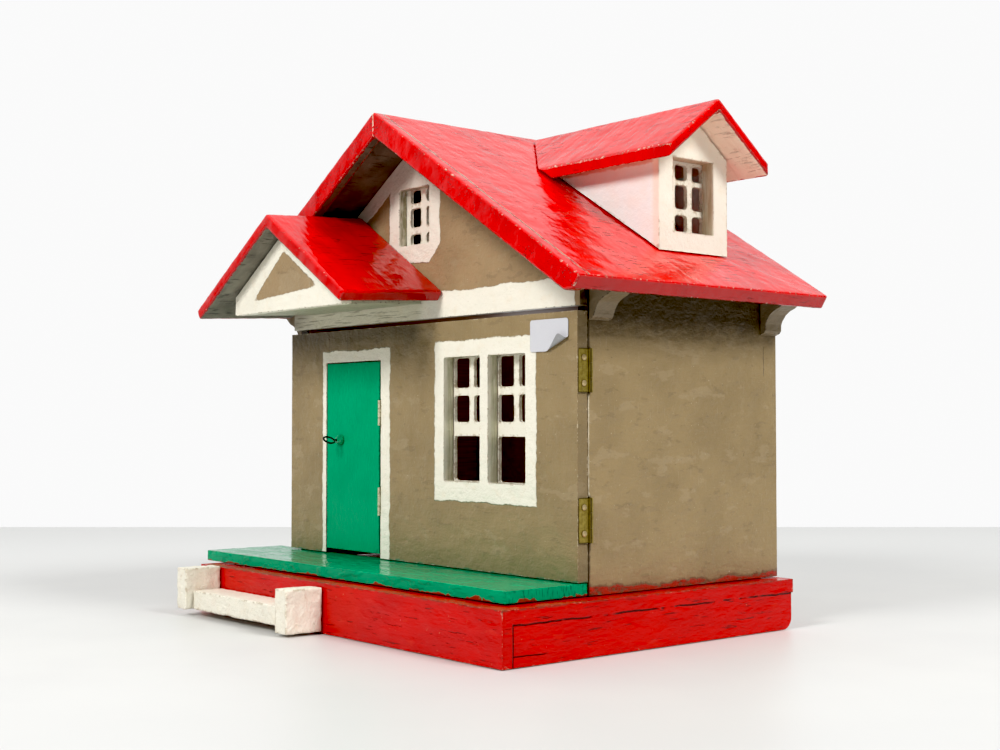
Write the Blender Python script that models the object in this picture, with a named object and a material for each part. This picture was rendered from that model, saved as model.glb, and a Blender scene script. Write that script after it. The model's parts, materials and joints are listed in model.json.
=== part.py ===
"""Wooden doll's house with a hinged front, a hinged door, a gabled porch and a dormer.

Model frame: +X to the right seen from the front, +Y to the back, +Z up. The house is laid
out about its own middle (x = 0), its front face (y = 0) and the ground (z = 0). The empty
"house" then moves it so that the world origin is the middle of its bottom.
"""
import bpy
import bmesh
from math import atan, cos, pi, radians, sin, sqrt
from mathutils import Matrix, Vector

# ---- driving dimensions, in metres ----
GAP = 0.0003              # clearance between pieces that touch
HOUSE_HALF = 0.175        # half the width of the walls
HOUSE_DEPTH = 0.201       # front face to back face
WALL = 0.010              # thickness of the side and back walls
FRONT_T = 0.0092          # thickness of the hinged front

BASE_LEFT, BASE_RIGHT = -0.1857, 0.1911
BASE_FRONT, BASE_BACK = -0.0779, 0.1994
BASE_TOP = 0.0362
BASE_BOARD_T = 0.0100
RAIL_T = 0.0090

FLOOR_LEFT, FLOOR_RIGHT = -0.2055, 0.1747
FLOOR_FRONT = -0.0616
FLOOR_TOP = 0.0452

STEP_FRONT = -0.1095
STEP_BACK = BASE_FRONT - GAP
TREAD_FRONT = -0.1040
TREAD_SPAN = (0.0048, 0.0205)         # z of the tread's underside and top
STEP_CHEEKS = {                       # x from, x to, z from, z to
    "left": (-0.1670, -0.1515, 0.0045, 0.0375),
    "right": (-0.0213, -0.0052, 0.0012, 0.0337),
}
RAIL_ROUND = 0.009                    # round on the side rails' lower back corner
RAIL_INSET = 0.002                    # rails stop this short of the board's back edge

PANEL_LOW, PANEL_HIGH = 0.0456, 0.2233
GABLE_LOW = 0.2265
GABLE_SETBACK = 0.0020

DOOR_LEFT, DOOR_RIGHT = -0.1214, -0.0485
DOOR_LOW, DOOR_HIGH = 0.0490, 0.1970
DOOR_GAP_LEFT, DOOR_GAP_RIGHT, DOOR_GAP_TOP = 0.0010, 0.0018, 0.0007

WINDOW_LOW, WINDOW_HIGH = 0.1075, 0.1970
WINDOW_SPANS = {"left": (0.0325, 0.0736), "right": (0.0827, 0.1226)}
LARGE_PANE_TOP = 0.1399
SMALL_PANE_ROWS = ((0.1504, 0.1692), (0.1752, 0.1964))
GRILLE_T = 0.0030

RIDGE_TOP = 0.3773
SLOPE = 0.6193            # fall of the main roof for each metre outwards
ROOF_T = 0.0115
ROOF_FRONT, ROOF_BACK = -0.0315, 0.2058
EAVE_RIGHT, EAVE_LEFT = 0.2201, 0.2100
BARGE_T = 0.0091
BARGE_DEPTH = 0.0201      # measured straight down
BARGE_PROUD = 0.0010

PORCH_X = -0.0740
PORCH_RIDGE = 0.3065
PORCH_EAVES = {"right": 0.1043, "left": 0.1070}     # out from the ridge
PORCH_SLOPE = 0.627
PORCH_T = 0.0095
PORCH_FRONT = -0.0866
PORCH_RISE = 0.055        # the porch roof climbs a little towards the wall
PEDIMENT_FRONT = -0.0700
PEDIMENT_T = 0.0100
PEDIMENT_LEFT, PEDIMENT_RIGHT = -0.1480, 0.0035
PEDIMENT_LOW = 0.2330
CEILING_T = 0.0080

DORMER_Y = 0.1110
DORMER_RIDGE = 0.3752
DORMER_EAVES = {"near": 0.0500, "far": 0.0530}      # out from the ridge
DORMER_SLOPE = 0.760
DORMER_T = 0.0080
DORMER_TIP = 0.2008
DORMER_FACE = 0.1761
DORMER_NEAR, DORMER_FAR = 0.0756, 0.1462
DORMER_WALL = 0.0110
CHEEK_T = 0.0080

CORBEL_T = 0.0185
CORBEL_FOOT = {"front": 0.2170, "back": 0.2135}
ATTIC_FLOOR_T = 0.008

GABLE_WINDOW = ((-0.0258, 0.2835), (0.0116, 0.3263))      # low and high (x, z) corners
GABLE_COLUMNS = ((-0.0210, -0.0082), (-0.0012, 0.0108))
GABLE_ROWS = ((0.2850, 0.2926), (0.2980, 0.3123), (0.3163, 0.3262))
DORMER_WINDOW = ((0.0902, 0.2828), (0.1315, 0.3345))      # low and high (y, z) corners
DORMER_COLUMNS = ((0.1040, 0.1163), (0.1215, 0.1325))
DORMER_ROWS = ((0.2845, 0.2965), (0.3010, 0.3180), (0.3215, 0.3325))

PANEL_AXIS = (0.1767, 0.0101)        # x, y of the front's hinge pins
PANEL_HINGES = {"upper": (0.1695, 0.1985), "lower": (0.0712, 0.1008)}
DOOR_AXIS = (-0.0476, -0.0006)       # x, y of the door's hinge pins
DOOR_HINGES = {"upper": (0.1475, 0.1670), "lower": (0.0785, 0.1000)}
PULL_X, PULL_Z = -0.1010, 0.1360

MID_X = (EAVE_RIGHT - EAVE_LEFT) / 2
MID_Y = (STEP_FRONT + ROOF_BACK) / 2

COLOURS = {
    "red_gloss": ((0.60, 0.010, 0.012), 0.25, 0.0),
    "green_gloss": ((0.0, 0.36, 0.15), 0.22, 0.0),
    "cream_paint": ((0.85, 0.80, 0.66), 0.45, 0.0),
    "taupe_paint": ((0.30, 0.235, 0.165), 0.48, 0.0),
    "bare_wood": ((0.16, 0.075, 0.04), 0.70, 0.0),
    "brass": ((0.50, 0.37, 0.12), 0.38, 1.0),
    "dark_steel": ((0.04, 0.04, 0.04), 0.35, 1.0),
    "paper": ((0.88, 0.88, 0.90), 0.60, 0.0),
}


def clear_scene():
    for old in list(bpy.data.objects):
        bpy.data.objects.remove(old)


def make_material(name):
    colour, roughness, metallic = COLOURS[name]
    material = bpy.data.materials.new(name)
    material.use_nodes = True
    shader = material.node_tree.nodes["Principled BSDF"]
    shader.inputs["Base Color"].default_value = (*colour, 1.0)
    shader.inputs["Roughness"].default_value = roughness
    shader.inputs["Metallic"].default_value = metallic
    return material


def make_empty(name, place, parent=None):
    empty = bpy.data.objects.new(name, None)
    empty.location = place
    empty.parent = parent
    bpy.context.scene.collection.objects.link(empty)
    return empty


clear_scene()
HOUSE = make_empty("house", (-MID_X, -MID_Y, 0))
PANEL = make_empty("panel_pivot", (*PANEL_AXIS, 0), HOUSE)
DOOR = make_empty("door_pivot", (DOOR_AXIS[0] - PANEL_AXIS[0], DOOR_AXIS[1] - PANEL_AXIS[1], 0), PANEL)
PIVOTS = {
    HOUSE: Vector((0, 0, 0)),
    PANEL: Vector((*PANEL_AXIS, 0)),
    DOOR: Vector((*DOOR_AXIS, 0)),
}


# ---- tools ----
def new_object(name, mesh):
    piece = bpy.data.objects.new(name, mesh)
    bpy.context.scene.collection.objects.link(piece)
    return piece


def place(piece, finish, parent=HOUSE, smooth=False):
    """Give a piece its finish, an origin at its middle and its place under a parent."""
    corners = [vertex.co for vertex in piece.data.vertices]
    low = Vector([min(corner[i] for corner in corners) for i in range(3)])
    high = Vector([max(corner[i] for corner in corners) for i in range(3)])
    middle = (low + high) / 2
    piece.data.transform(Matrix.Translation(-middle))
    piece.parent = parent
    piece.location = middle - PIVOTS[parent]
    piece.data.materials.clear()
    piece.data.materials.append(make_material(finish))
    piece.data.materials[0].name = piece.name + "_" + finish
    if smooth:
        piece.data.shade_smooth()
        piece.data.set_sharp_from_angle(angle=radians(40))
    return piece


def prism(name, outline, low, high, across):
    """Extrude an outline from low to high across one axis.

    The outline's points are (y, z) across x, (x, z) across y, and (x, y) across z.
    """
    spots = {
        "x": lambda a, b, c: (c, a, b),
        "y": lambda a, b, c: (a, c, b),
        "z": lambda a, b, c: (a, b, c),
    }[across]
    mesh = bpy.data.meshes.new(name)
    work = bmesh.new()
    face = work.faces.new([work.verts.new(spots(a, b, low)) for a, b in outline])
    sweep = bmesh.ops.extrude_face_region(work, geom=[face])
    moved = [item for item in sweep["geom"] if isinstance(item, bmesh.types.BMVert)]
    bmesh.ops.translate(work, verts=moved, vec=Vector(spots(0, 0, high - low)))
    bmesh.ops.recalc_face_normals(work, faces=work.faces)
    work.to_mesh(mesh)
    work.free()
    return new_object(name, mesh)


def block(name, low, high):
    outline = [(low[0], low[1]), (high[0], low[1]), (high[0], high[1]), (low[0], high[1])]
    return prism(name, outline, low[2], high[2], "z")


def rod(name, radius, start, end, sides=16):
    """A round bar from one point to another."""
    start, end = Vector(start), Vector(end)
    along = end - start
    mesh = bpy.data.meshes.new(name)
    work = bmesh.new()
    turn = Vector((0, 0, 1)).rotation_difference(along).to_matrix().to_4x4()
    bmesh.ops.create_cone(
        work, cap_ends=True, segments=sides, radius1=radius, radius2=radius, depth=along.length,
        matrix=Matrix.Translation((start + end) / 2) @ turn,
    )
    work.to_mesh(mesh)
    work.free()
    return new_object(name, mesh)


def turned(name, profile, foot, along, sides=14):
    """Turn a profile of (radius, height) points about an axis that starts at foot."""
    mesh = bpy.data.meshes.new(name)
    work = bmesh.new()
    verts = [work.verts.new((radius, 0, height)) for radius, height in profile]
    edges = [work.edges.new(pair) for pair in zip(verts, verts[1:])]
    bmesh.ops.spin(
        work, geom=verts + edges, cent=(0, 0, 0), axis=(0, 0, 1), angle=2 * pi,
        steps=sides, use_duplicate=False,
    )
    bmesh.ops.remove_doubles(work, verts=work.verts, dist=1e-6)
    bmesh.ops.recalc_face_normals(work, faces=work.faces)
    turn = Vector((0, 0, 1)).rotation_difference(Vector(along)).to_matrix().to_4x4()
    work.transform(Matrix.Translation(foot) @ turn)
    work.to_mesh(mesh)
    work.free()
    return new_object(name, mesh)


def shape_with(piece, tools, operation):
    """Join tools to a piece, or cut them out of it, and remove the tools."""
    for tool in tools:
        boolean = piece.modifiers.new("shape", "BOOLEAN")
        boolean.operation = operation
        boolean.solver = "EXACT"
        boolean.object = tool
    bpy.context.view_layer.update()
    result = piece.evaluated_get(bpy.context.evaluated_depsgraph_get())
    mesh = bpy.data.meshes.new_from_object(result)
    piece.modifiers.clear()
    piece.data = mesh
    for tool in tools:
        bpy.data.objects.remove(tool)
    return piece


def cut(piece, *tools):
    return shape_with(piece, tools, "DIFFERENCE")


def join(piece, *tools):
    return shape_with(piece, tools, "UNION")


def rounded_hole(name, low, high, radius, y_low, y_high, steps=4):
    """A cutter through the y axis: a rectangle of (x, z) corners with rounded corners."""
    corners = (
        (high[0] - radius, high[1] - radius, 0),
        (low[0] + radius, high[1] - radius, 90),
        (low[0] + radius, low[1] + radius, 180),
        (high[0] - radius, low[1] + radius, 270),
    )
    outline = []
    for x, z, first in corners:
        for step in range(steps + 1):
            angle = radians(first + 90 * step / steps)
            outline.append((x + radius * cos(angle), z + radius * sin(angle)))
    return prism(name, outline, y_low, y_high, "y")


# ---- the main roof's planes ----
ROOF_FALL = ROOF_T * sqrt(1 + SLOPE ** 2)          # roof thickness measured straight down


def roof_top(x):
    return RIDGE_TOP - SLOPE * abs(x)


def soffit(x):
    return roof_top(x) - ROOF_FALL - GAP


# ---- base, porch floor and steps ----
def make_base():
    board_low = BASE_TOP - BASE_BOARD_T
    board = block("base_board", (BASE_LEFT, BASE_FRONT, board_low), (BASE_RIGHT, BASE_BACK, BASE_TOP))
    place(board, "red_gloss")
    rail_top = board_low - GAP
    behind = BASE_FRONT + RAIL_T + GAP
    back = BASE_BACK - RAIL_INSET
    front = block("base_front_rail", (BASE_LEFT, BASE_FRONT, 0), (BASE_RIGHT, BASE_FRONT + RAIL_T, rail_top))
    place(front, "red_gloss")
    side = [(behind, 0), (back - RAIL_ROUND, 0)]
    for step in range(1, 7):
        angle = radians(-90 + 15 * step)
        side.append((back - RAIL_ROUND + RAIL_ROUND * cos(angle), RAIL_ROUND + RAIL_ROUND * sin(angle)))
    side += [(back, rail_top), (behind, rail_top)]
    place(prism("base_right_rail", side, BASE_RIGHT - RAIL_T, BASE_RIGHT, "x"), "red_gloss")
    place(prism("base_left_rail", side, BASE_LEFT, BASE_LEFT + RAIL_T, "x"), "red_gloss")
    inner_left = BASE_LEFT + RAIL_T + GAP
    inner_right = BASE_RIGHT - RAIL_T - GAP
    rear = block("base_back_rail", (inner_left, back - RAIL_T, 0), (inner_right, back, rail_top))
    place(rear, "red_gloss")


def make_porch_floor():
    low = (FLOOR_LEFT, FLOOR_FRONT, BASE_TOP + GAP)
    high = (FLOOR_RIGHT, FRONT_T, FLOOR_TOP)
    place(block("porch_floor", low, high), "green_gloss")


def make_steps():
    for side, (x_low, x_high, z_low, z_high) in STEP_CHEEKS.items():
        cheek = block(f"step_{side}_cheek", (x_low, STEP_FRONT, z_low), (x_high, STEP_BACK, z_high))
        place(cheek, "cream_paint")
    tread_left, tread_right = STEP_CHEEKS["left"][1] + GAP, STEP_CHEEKS["right"][0] - GAP
    under, top = TREAD_SPAN
    tread = block("step_tread", (tread_left, TREAD_FRONT, under), (tread_right, STEP_BACK, top))
    place(tread, "cream_paint")


# ---- walls ----
def make_side_walls():
    floor = BASE_TOP + GAP
    inner = HOUSE_HALF - WALL
    for side, sign in (("right", 1), ("left", -1)):
        outline = [
            (sign * inner, floor), (sign * HOUSE_HALF, floor),
            (sign * HOUSE_HALF, soffit(HOUSE_HALF)), (sign * inner, soffit(inner)),
        ]
        wall = prism(f"{side}_side_wall", outline, FRONT_T + GAP, HOUSE_DEPTH, "y")
        if side == "right":
            for low, high in PANEL_HINGES.values():
                mortise = block("mortise", (0.1640, 0.005, low - GAP), (0.180, 0.0108, high + GAP))
                cut(wall, mortise)
                for height in nail_heights(low, high):
                    cut(wall, rod("hole", 0.0009, (0.1690, 0.0, height), (0.1690, 0.0190, height), 10))
        place(wall, "taupe_paint")


def make_back_wall():
    edge = HOUSE_HALF - WALL - GAP
    floor = BASE_TOP + GAP
    outline = [(-edge, floor), (edge, floor), (edge, soffit(edge)), (0, soffit(0)), (-edge, soffit(edge))]
    wall = prism("back_wall", outline, HOUSE_DEPTH - WALL, HOUSE_DEPTH, "y")
    place(wall, "taupe_paint")


def make_attic_floor():
    edge = HOUSE_HALF - WALL - GAP
    low = (-edge, FRONT_T + GAP, GABLE_LOW)
    high = (edge, HOUSE_DEPTH - WALL - GAP, GABLE_LOW + ATTIC_FLOOR_T)
    place(block("attic_floor", low, high), "bare_wood")


def make_gable():
    edge = HOUSE_HALF
    outline = [
        (-edge, GABLE_LOW), (edge, GABLE_LOW), (edge, soffit(edge)),
        (0, soffit(0)), (-edge, soffit(edge)),
    ]
    wall = prism("gable_wall", outline, GABLE_SETBACK, FRONT_T, "y")
    low, high = GABLE_WINDOW
    cut(wall, rounded_hole("opening", low, high, 0.0015, -0.02, 0.03, 2))
    place(wall, "taupe_paint")
    face = FRONT_T + GAP
    rim = 0.0045
    attic = GABLE_LOW + ATTIC_FLOOR_T + GAP
    grille = block(
        "gable_window_grille",
        (low[0] - rim, face, max(low[1] - rim, attic)), (high[0] + rim, face + GRILLE_T, high[1] + rim),
    )
    holes = [
        rounded_hole("pane", (x1, z1), (x2, z2), 0.0024, -0.02, 0.04, 3)
        for x1, x2 in GABLE_COLUMNS for z1, z2 in GABLE_ROWS
    ]
    cut(grille, *holes)
    place(grille, "cream_paint")


# ---- main roof ----
def make_roof_boards():
    lean = atan(SLOPE)
    for side, sign, eave in (("right", 1, EAVE_RIGHT), ("left", -1, EAVE_LEFT)):
        start = GAP / 2
        foot_x = eave - ROOF_T * sin(lean)
        foot_z = roof_top(eave) - ROOF_T * cos(lean)
        outline = [
            (sign * start, roof_top(start)), (sign * eave, roof_top(eave)),
            (sign * foot_x, foot_z), (sign * start, roof_top(start) - ROOF_FALL),
        ]
        place(prism(f"roof_{side}_board", outline, ROOF_FRONT, ROOF_BACK, "y"), "red_gloss")
        make_bargeboard(side, sign, eave, foot_x, foot_z)


def make_bargeboard(side, sign, eave, foot_x, foot_z):
    """A board on the roof's front edge, deeper than the roof, its foot cut level."""
    start = GAP / 2
    rise = BARGE_PROUD                       # of the board's top over the roof's
    drop = BARGE_PROUD - BARGE_DEPTH         # of its underside below the roof's top
    level_x = (roof_top(0) + drop - foot_z) / SLOPE
    outline = [
        (sign * start, roof_top(start) + rise), (sign * eave, roof_top(eave) + rise),
        (sign * foot_x, foot_z), (sign * level_x, foot_z), (sign * start, roof_top(start) + drop),
    ]
    back = ROOF_FRONT - GAP
    place(prism(f"bargeboard_{side}", outline, back - BARGE_T, back, "y"), "red_gloss")


def make_corbels():
    """S-curved brackets under the eaves, cut to the soffit at the top."""
    foot_curve = [(0.0012, 0.0005), (0.0042, 0.0015), (0.0056, 0.0037)]       # out, above the foot
    sweep = [(0.0058, 0.2215), (0.0070, 0.2245), (0.0100, 0.2285)]            # out, z
    sweep += [(0.0140, 0.2312), (0.0185, 0.2330), (0.0215, 0.2350)]
    inner = HOUSE_HALF + GAP
    rests = {"front": FRONT_T + GAP, "back": HOUSE_DEPTH - CORBEL_T}
    for end, near in rests.items():
        foot = CORBEL_FOOT[end]
        curve = [(out, foot + up) for out, up in foot_curve] + sweep
        for side, sign in (("right", 1), ("left", -1)):
            outline = [(inner, foot)] + [(HOUSE_HALF + out, z) for out, z in curve]
            tip = outline[-1][0] + 0.0045
            outline += [(tip, soffit(tip)), (inner, soffit(inner))]
            outline = [(sign * x, z) for x, z in outline]
            piece = prism(f"corbel_{end}_{side}", outline, near, near + CORBEL_T, "y")
            place(piece, "taupe_paint")


# ---- porch roof ----
def climb(piece):
    """Shear a porch piece so that it rises towards the wall."""
    for vertex in piece.data.vertices:
        vertex.co.z += PORCH_RISE * (vertex.co.y - PORCH_FRONT)
    return piece


def make_porch_roof():
    fall = PORCH_T * sqrt(1 + PORCH_SLOPE ** 2)
    lean = atan(PORCH_SLOPE)
    lap = fall / (2 * PORCH_SLOPE)
    back = GABLE_SETBACK - GAP
    eaves = {}
    for side, sign in (("right", 1), ("left", -1)):
        out = PORCH_EAVES[side]
        eave_z = PORCH_RIDGE - PORCH_SLOPE * out
        foot_x = PORCH_X + sign * (out - PORCH_T * sin(lean))
        eaves[side] = [(PORCH_X + sign * out, eave_z), (foot_x, eave_z - PORCH_T * cos(lean))]
    right = [(PORCH_X, PORCH_RIDGE)] + eaves["right"]
    right += [(PORCH_X, PORCH_RIDGE - fall), (PORCH_X - lap, PORCH_RIDGE - fall / 2)]
    place(climb(prism("porch_roof_right", right, PORCH_FRONT, back, "y")), "red_gloss")
    slip = GAP * 1.3
    left = [(PORCH_X - lap - slip, PORCH_RIDGE - fall / 2 - slip * PORCH_SLOPE)] + eaves["left"]
    left += [(PORCH_X - slip, PORCH_RIDGE - fall - slip * PORCH_SLOPE)]
    place(climb(prism("porch_roof_left", left, PORCH_FRONT, back, "y")), "red_gloss")

    peak = PORCH_RIDGE - fall - 2 * GAP
    right_shoulder = peak - PORCH_SLOPE * (PEDIMENT_RIGHT - PORCH_X)
    left_shoulder = peak - PORCH_SLOPE * (PORCH_X - PEDIMENT_LEFT)
    field = [
        (PEDIMENT_LEFT, PEDIMENT_LOW), (PEDIMENT_RIGHT, PEDIMENT_LOW),
        (PEDIMENT_RIGHT, right_shoulder), (PORCH_X, peak), (PEDIMENT_LEFT, left_shoulder),
    ]
    rear = PEDIMENT_FRONT + PEDIMENT_T
    place(climb(prism("pediment_board", field, PEDIMENT_FRONT, rear, "y")), "cream_paint")
    low = (PEDIMENT_LEFT, rear + GAP, PEDIMENT_LOW)
    high = (PEDIMENT_RIGHT, back, PEDIMENT_LOW + CEILING_T)
    place(climb(block("porch_ceiling", low, high)), "taupe_paint")


# ---- dormer ----
def under_main_roof(name):
    """A cutter that fills everything below the right slope's top, plus the clearance."""
    lift = GAP * 1.2
    outline = [
        (-0.05, roof_top(0) + 0.05 * SLOPE + lift), (0.30, roof_top(0.30) + lift),
        (0.30, 0), (-0.05, 0),
    ]
    return prism(name, outline, 0.0, 0.25, "y")


DORMER_FALL = DORMER_T * sqrt(1 + DORMER_SLOPE ** 2)


def dormer_top(out):
    """Height of the dormer roof's top at a distance from its ridge."""
    return DORMER_RIDGE - DORMER_SLOPE * out


def dormer_soffit(y):
    return dormer_top(abs(y - DORMER_Y)) - DORMER_FALL - 2 * GAP


def make_dormer():
    start = GAP / 2
    for side, sign in (("near", -1), ("far", 1)):
        ridge, eave = DORMER_Y + sign * start, DORMER_Y + sign * DORMER_EAVES[side]
        outline = [
            (ridge, dormer_top(start)), (eave, dormer_top(DORMER_EAVES[side])),
            (eave, dormer_top(DORMER_EAVES[side]) - DORMER_FALL), (ridge, dormer_top(start) - DORMER_FALL),
        ]
        board = prism(f"dormer_roof_{side}", outline, 0.0, DORMER_TIP, "x")
        place(cut(board, under_main_roof("valley")), "red_gloss")

    back = DORMER_FACE - DORMER_WALL
    outline = [
        (DORMER_NEAR, 0.22), (DORMER_FAR, 0.22), (DORMER_FAR, dormer_soffit(DORMER_FAR)),
        (DORMER_Y, dormer_soffit(DORMER_Y)), (DORMER_NEAR, dormer_soffit(DORMER_NEAR)),
    ]
    front = prism("dormer_front", outline, back, DORMER_FACE, "x")
    (y1, z1), (y2, z2) = DORMER_WINDOW
    window = block("window", (0.10, y1, z1), (0.25, y2, z2))
    place(cut(front, under_main_roof("roof"), window), "cream_paint")

    for side, y in (("near", DORMER_NEAR), ("far", DORMER_FAR - CHEEK_T)):
        ends = (y, y + CHEEK_T)
        outline = [
            (ends[0], 0.22), (ends[1], 0.22),
            (ends[1], dormer_soffit(ends[1])), (ends[0], dormer_soffit(ends[0])),
        ]
        cheek = prism(f"dormer_cheek_{side}", outline, 0.03, back - GAP, "x")
        place(cut(cheek, under_main_roof("roof")), "cream_paint")

    low = (back - GAP - 0.0035, y1 - 0.0032, z1 - 0.0016)
    high = (back - GAP, y2 + 0.0033, z2 + 0.0025)
    grille = block("dormer_window_grille", low, high)
    holes = []
    for y1, y2 in DORMER_COLUMNS:
        for z1, z2 in DORMER_ROWS:
            pane = rounded_hole("pane", (y1, z1), (y2, z2), 0.0026, -0.25, -0.10, 3)
            pane.data.transform(Matrix.Rotation(radians(90), 4, "Z"))
            holes.append(pane)
    cut(grille, *holes)
    place(grille, "cream_paint")


# ---- hinges ----
def nail_heights(low, high):
    inset = (high - low) * 0.21
    return low + inset, high - inset


def knuckles(name, axis, low, high, radius, bore, spans):
    """Hollow barrels about a hinge pin, at the given fractions of its height."""
    barrels = []
    for first, last in spans:
        bottom = low + (high - low) * first + (GAP / 2 if first else 0)
        top = low + (high - low) * last - (GAP / 2 if last < 1 else 0)
        barrel = rod(name, radius, (*axis, bottom), (*axis, top))
        barrels.append(cut(barrel, rod("bore", bore, (*axis, low - 0.01), (*axis, high + 0.01), 12)))
    return barrels


OUTER, INNER = ((0, 0.33), (0.67, 1)), ((0.33, 0.67),)


def make_leaf(name, plate, axis, low, high, radius, bore, spans):
    """A hinge leaf: its plate joined to its share of the barrel, with the pin's way open."""
    clear = radius + GAP
    for first, last in (((0.33, 0.67),) if spans == OUTER else ((-0.1, 0.33), (0.67, 1.1))):
        bottom = low + (high - low) * first
        top = low + (high - low) * last
        cut(plate, rod("swing", clear, (*axis, bottom - GAP / 2), (*axis, top + GAP / 2)))
    cut(plate, rod("bore", bore, (*axis, low - 0.01), (*axis, high + 0.01), 12))
    leaf = join(plate, *knuckles("barrel", axis, low, high, radius, bore, spans))
    leaf.name = name
    return leaf


def make_panel_hinges():
    x, y = PANEL_AXIS
    for level, (low, high) in PANEL_HINGES.items():
        plate = block("plate", (HOUSE_HALF, 0.0008, low), (HOUSE_HALF + 0.0008, FRONT_T, high))
        leaf = make_leaf(f"panel_hinge_leaf_{level}", plate, PANEL_AXIS, low, high, 0.0014, 0.00075, OUTER)
        for height in nail_heights(low, high):
            cut(leaf, rod("hole", 0.0011, (0.170, 0.0046, height), (0.180, 0.0046, height), 12))
        place(leaf, "brass", PANEL)
        plate = block("plate", (0.1643, FRONT_T + GAP, low), (x, FRONT_T + GAP + 0.0008, high))
        leaf = make_leaf(f"wall_hinge_leaf_{level}", plate, PANEL_AXIS, low, high, 0.0014, 0.00075, INNER)
        for height in nail_heights(low, high):
            cut(leaf, rod("hole", 0.0009, (0.1690, 0.0, height), (0.1690, 0.0190, height), 10))
        place(leaf, "brass")
        pin = rod(f"panel_hinge_pin_{level}", 0.00045, (x, y, low), (x, y, high), 10)
        place(pin, "brass", smooth=True)
        for end, height in zip(("bottom", "top"), nail_heights(low, high)):
            dome = [(0, 0), (0.0008, 0), (0.0008, 0.0080), (0.0020, 0.0080)]
            dome += [(0.0020 * cos(radians(a)), 0.0082 + 0.0011 * sin(radians(a))) for a in (15, 40, 65)]
            dome.append((0, 0.0093))
            foot = (HOUSE_HALF + 0.0011 - 0.0080, 0.0046, height)
            screw = turned(f"panel_screw_{level}_{end}", dome, foot, (1, 0, 0))
            place(screw, "brass", PANEL, smooth=True)
            nail = rod(
                f"wall_nail_{level}_{end}", 0.0006,
                (0.1690, FRONT_T + GAP, height), (0.1690, 0.0180, height), 8,
            )
            place(nail, "dark_steel", smooth=True)


def make_door_hinges():
    x, y = DOOR_AXIS
    thin = 0.0005
    for level, (low, high) in DOOR_HINGES.items():
        plate = block("plate", (DOOR_RIGHT - 0.0002, y, low), (DOOR_RIGHT - 0.0002 + thin, 0.0080, high))
        leaf = make_leaf(f"door_hinge_leaf_{level}", plate, DOOR_AXIS, low, high, 0.00095, 0.00055, OUTER)
        place(leaf, "brass", DOOR)
        jamb = DOOR_RIGHT + DOOR_GAP_RIGHT
        plate = block("plate", (jamb + 0.0002 - thin, y, low), (jamb + 0.0002, 0.0080, high))
        leaf = make_leaf(f"jamb_hinge_leaf_{level}", plate, DOOR_AXIS, low, high, 0.00095, 0.00055, INNER)
        place(leaf, "brass", PANEL)
        pin = rod(f"door_hinge_pin_{level}", 0.00025, (x, y, low), (x, y, high), 8)
        place(pin, "brass", PANEL, smooth=True)


# ---- the hinged front and its door ----
def make_front_panel():
    panel = block("front_panel", (-HOUSE_HALF, 0, PANEL_LOW), (HOUSE_HALF - GAP, FRONT_T, PANEL_HIGH))
    doorway = block(
        "doorway",
        (DOOR_LEFT - DOOR_GAP_LEFT, -0.01, PANEL_LOW - 0.01),
        (DOOR_RIGHT + DOOR_GAP_RIGHT, 0.02, DOOR_HIGH + DOOR_GAP_TOP),
    )
    tools = [doorway]
    for low, high in WINDOW_SPANS.values():
        tools.append(rounded_hole("window", (low, WINDOW_LOW), (high, WINDOW_HIGH), 0.0012, -0.01, 0.02, 2))
    jamb = DOOR_RIGHT + DOOR_GAP_RIGHT
    for low, high in DOOR_HINGES.values():
        tools.append(block("recess", (jamb - 0.001, -0.001, low - GAP), (jamb + 0.0005, 0.0084, high + GAP)))
    for low, high in PANEL_HINGES.values():
        for height in nail_heights(low, high):
            tools.append(rod("hole", 0.0011, (0.1662, 0.0046, height), (0.180, 0.0046, height), 10))
    cut(panel, *tools)
    place(panel, "taupe_paint", PANEL)


def make_window_grilles():
    face = FRONT_T + GAP
    for side, (low, high) in WINDOW_SPANS.items():
        rim = 0.0038
        grille = block(
            f"window_grille_{side}",
            (low - rim, face, WINDOW_LOW - rim), (high + rim, face + GRILLE_T, WINDOW_HIGH + rim),
        )
        edge = 0.0006
        middle = (low + high) / 2
        half_bar = 0.0029
        spans = [((low + edge, WINDOW_LOW + edge), (high - edge, LARGE_PANE_TOP))]
        for z1, z2 in SMALL_PANE_ROWS:
            spans.append(((low + edge, z1), (middle - half_bar, z2)))
            spans.append(((middle + half_bar, z1), (high - edge, z2)))
        panes = [rounded_hole("pane", corner, other, 0.002, 0, 0.03, 3) for corner, other in spans]
        cut(grille, *panes)
        place(grille, "cream_paint", PANEL)


def make_label():
    """A blank paper sticker with rounded corners, one corner cut away where it lifts."""
    low, high = (0.1285, 0.1972), (0.1664, 0.2188)
    cut_away = 0.0165
    radius = 0.0022
    outline = [(high[0], low[1] + 0.0105), (high[0], high[1] - radius)]
    for x, z, first in ((high[0] - radius, high[1] - radius, 0), (low[0] + radius, high[1] - radius, 90)):
        for step in range(1, 5):
            angle = radians(first + 90 * step / 4)
            outline.append((x + radius * cos(angle), z + radius * sin(angle)))
    for step in range(0, 5):
        angle = radians(180 + 90 * step / 4)
        outline.append((low[0] + radius + radius * cos(angle), low[1] + radius + radius * sin(angle)))
    outline.append((high[0] - cut_away, low[1]))
    place(prism("paper_label", outline, -GAP - 0.0002, -GAP, "y"), "paper", PANEL)


def make_door():
    front, back = 0.0002, FRONT_T - 0.0002
    door = block("door", (DOOR_LEFT, front, DOOR_LOW), (DOOR_RIGHT, back, DOOR_HIGH))
    tools = [rod("hole", 0.0011, (PULL_X, -0.001, PULL_Z), (PULL_X, 0.0080, PULL_Z), 10)]
    for low, high in DOOR_HINGES.values():
        tools.append(block("recess", (DOOR_RIGHT - 0.0005, -0.001, low - GAP), (-0.04, 0.0084, high + GAP)))
    cut(door, *tools)
    place(door, "green_gloss", DOOR)


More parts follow.
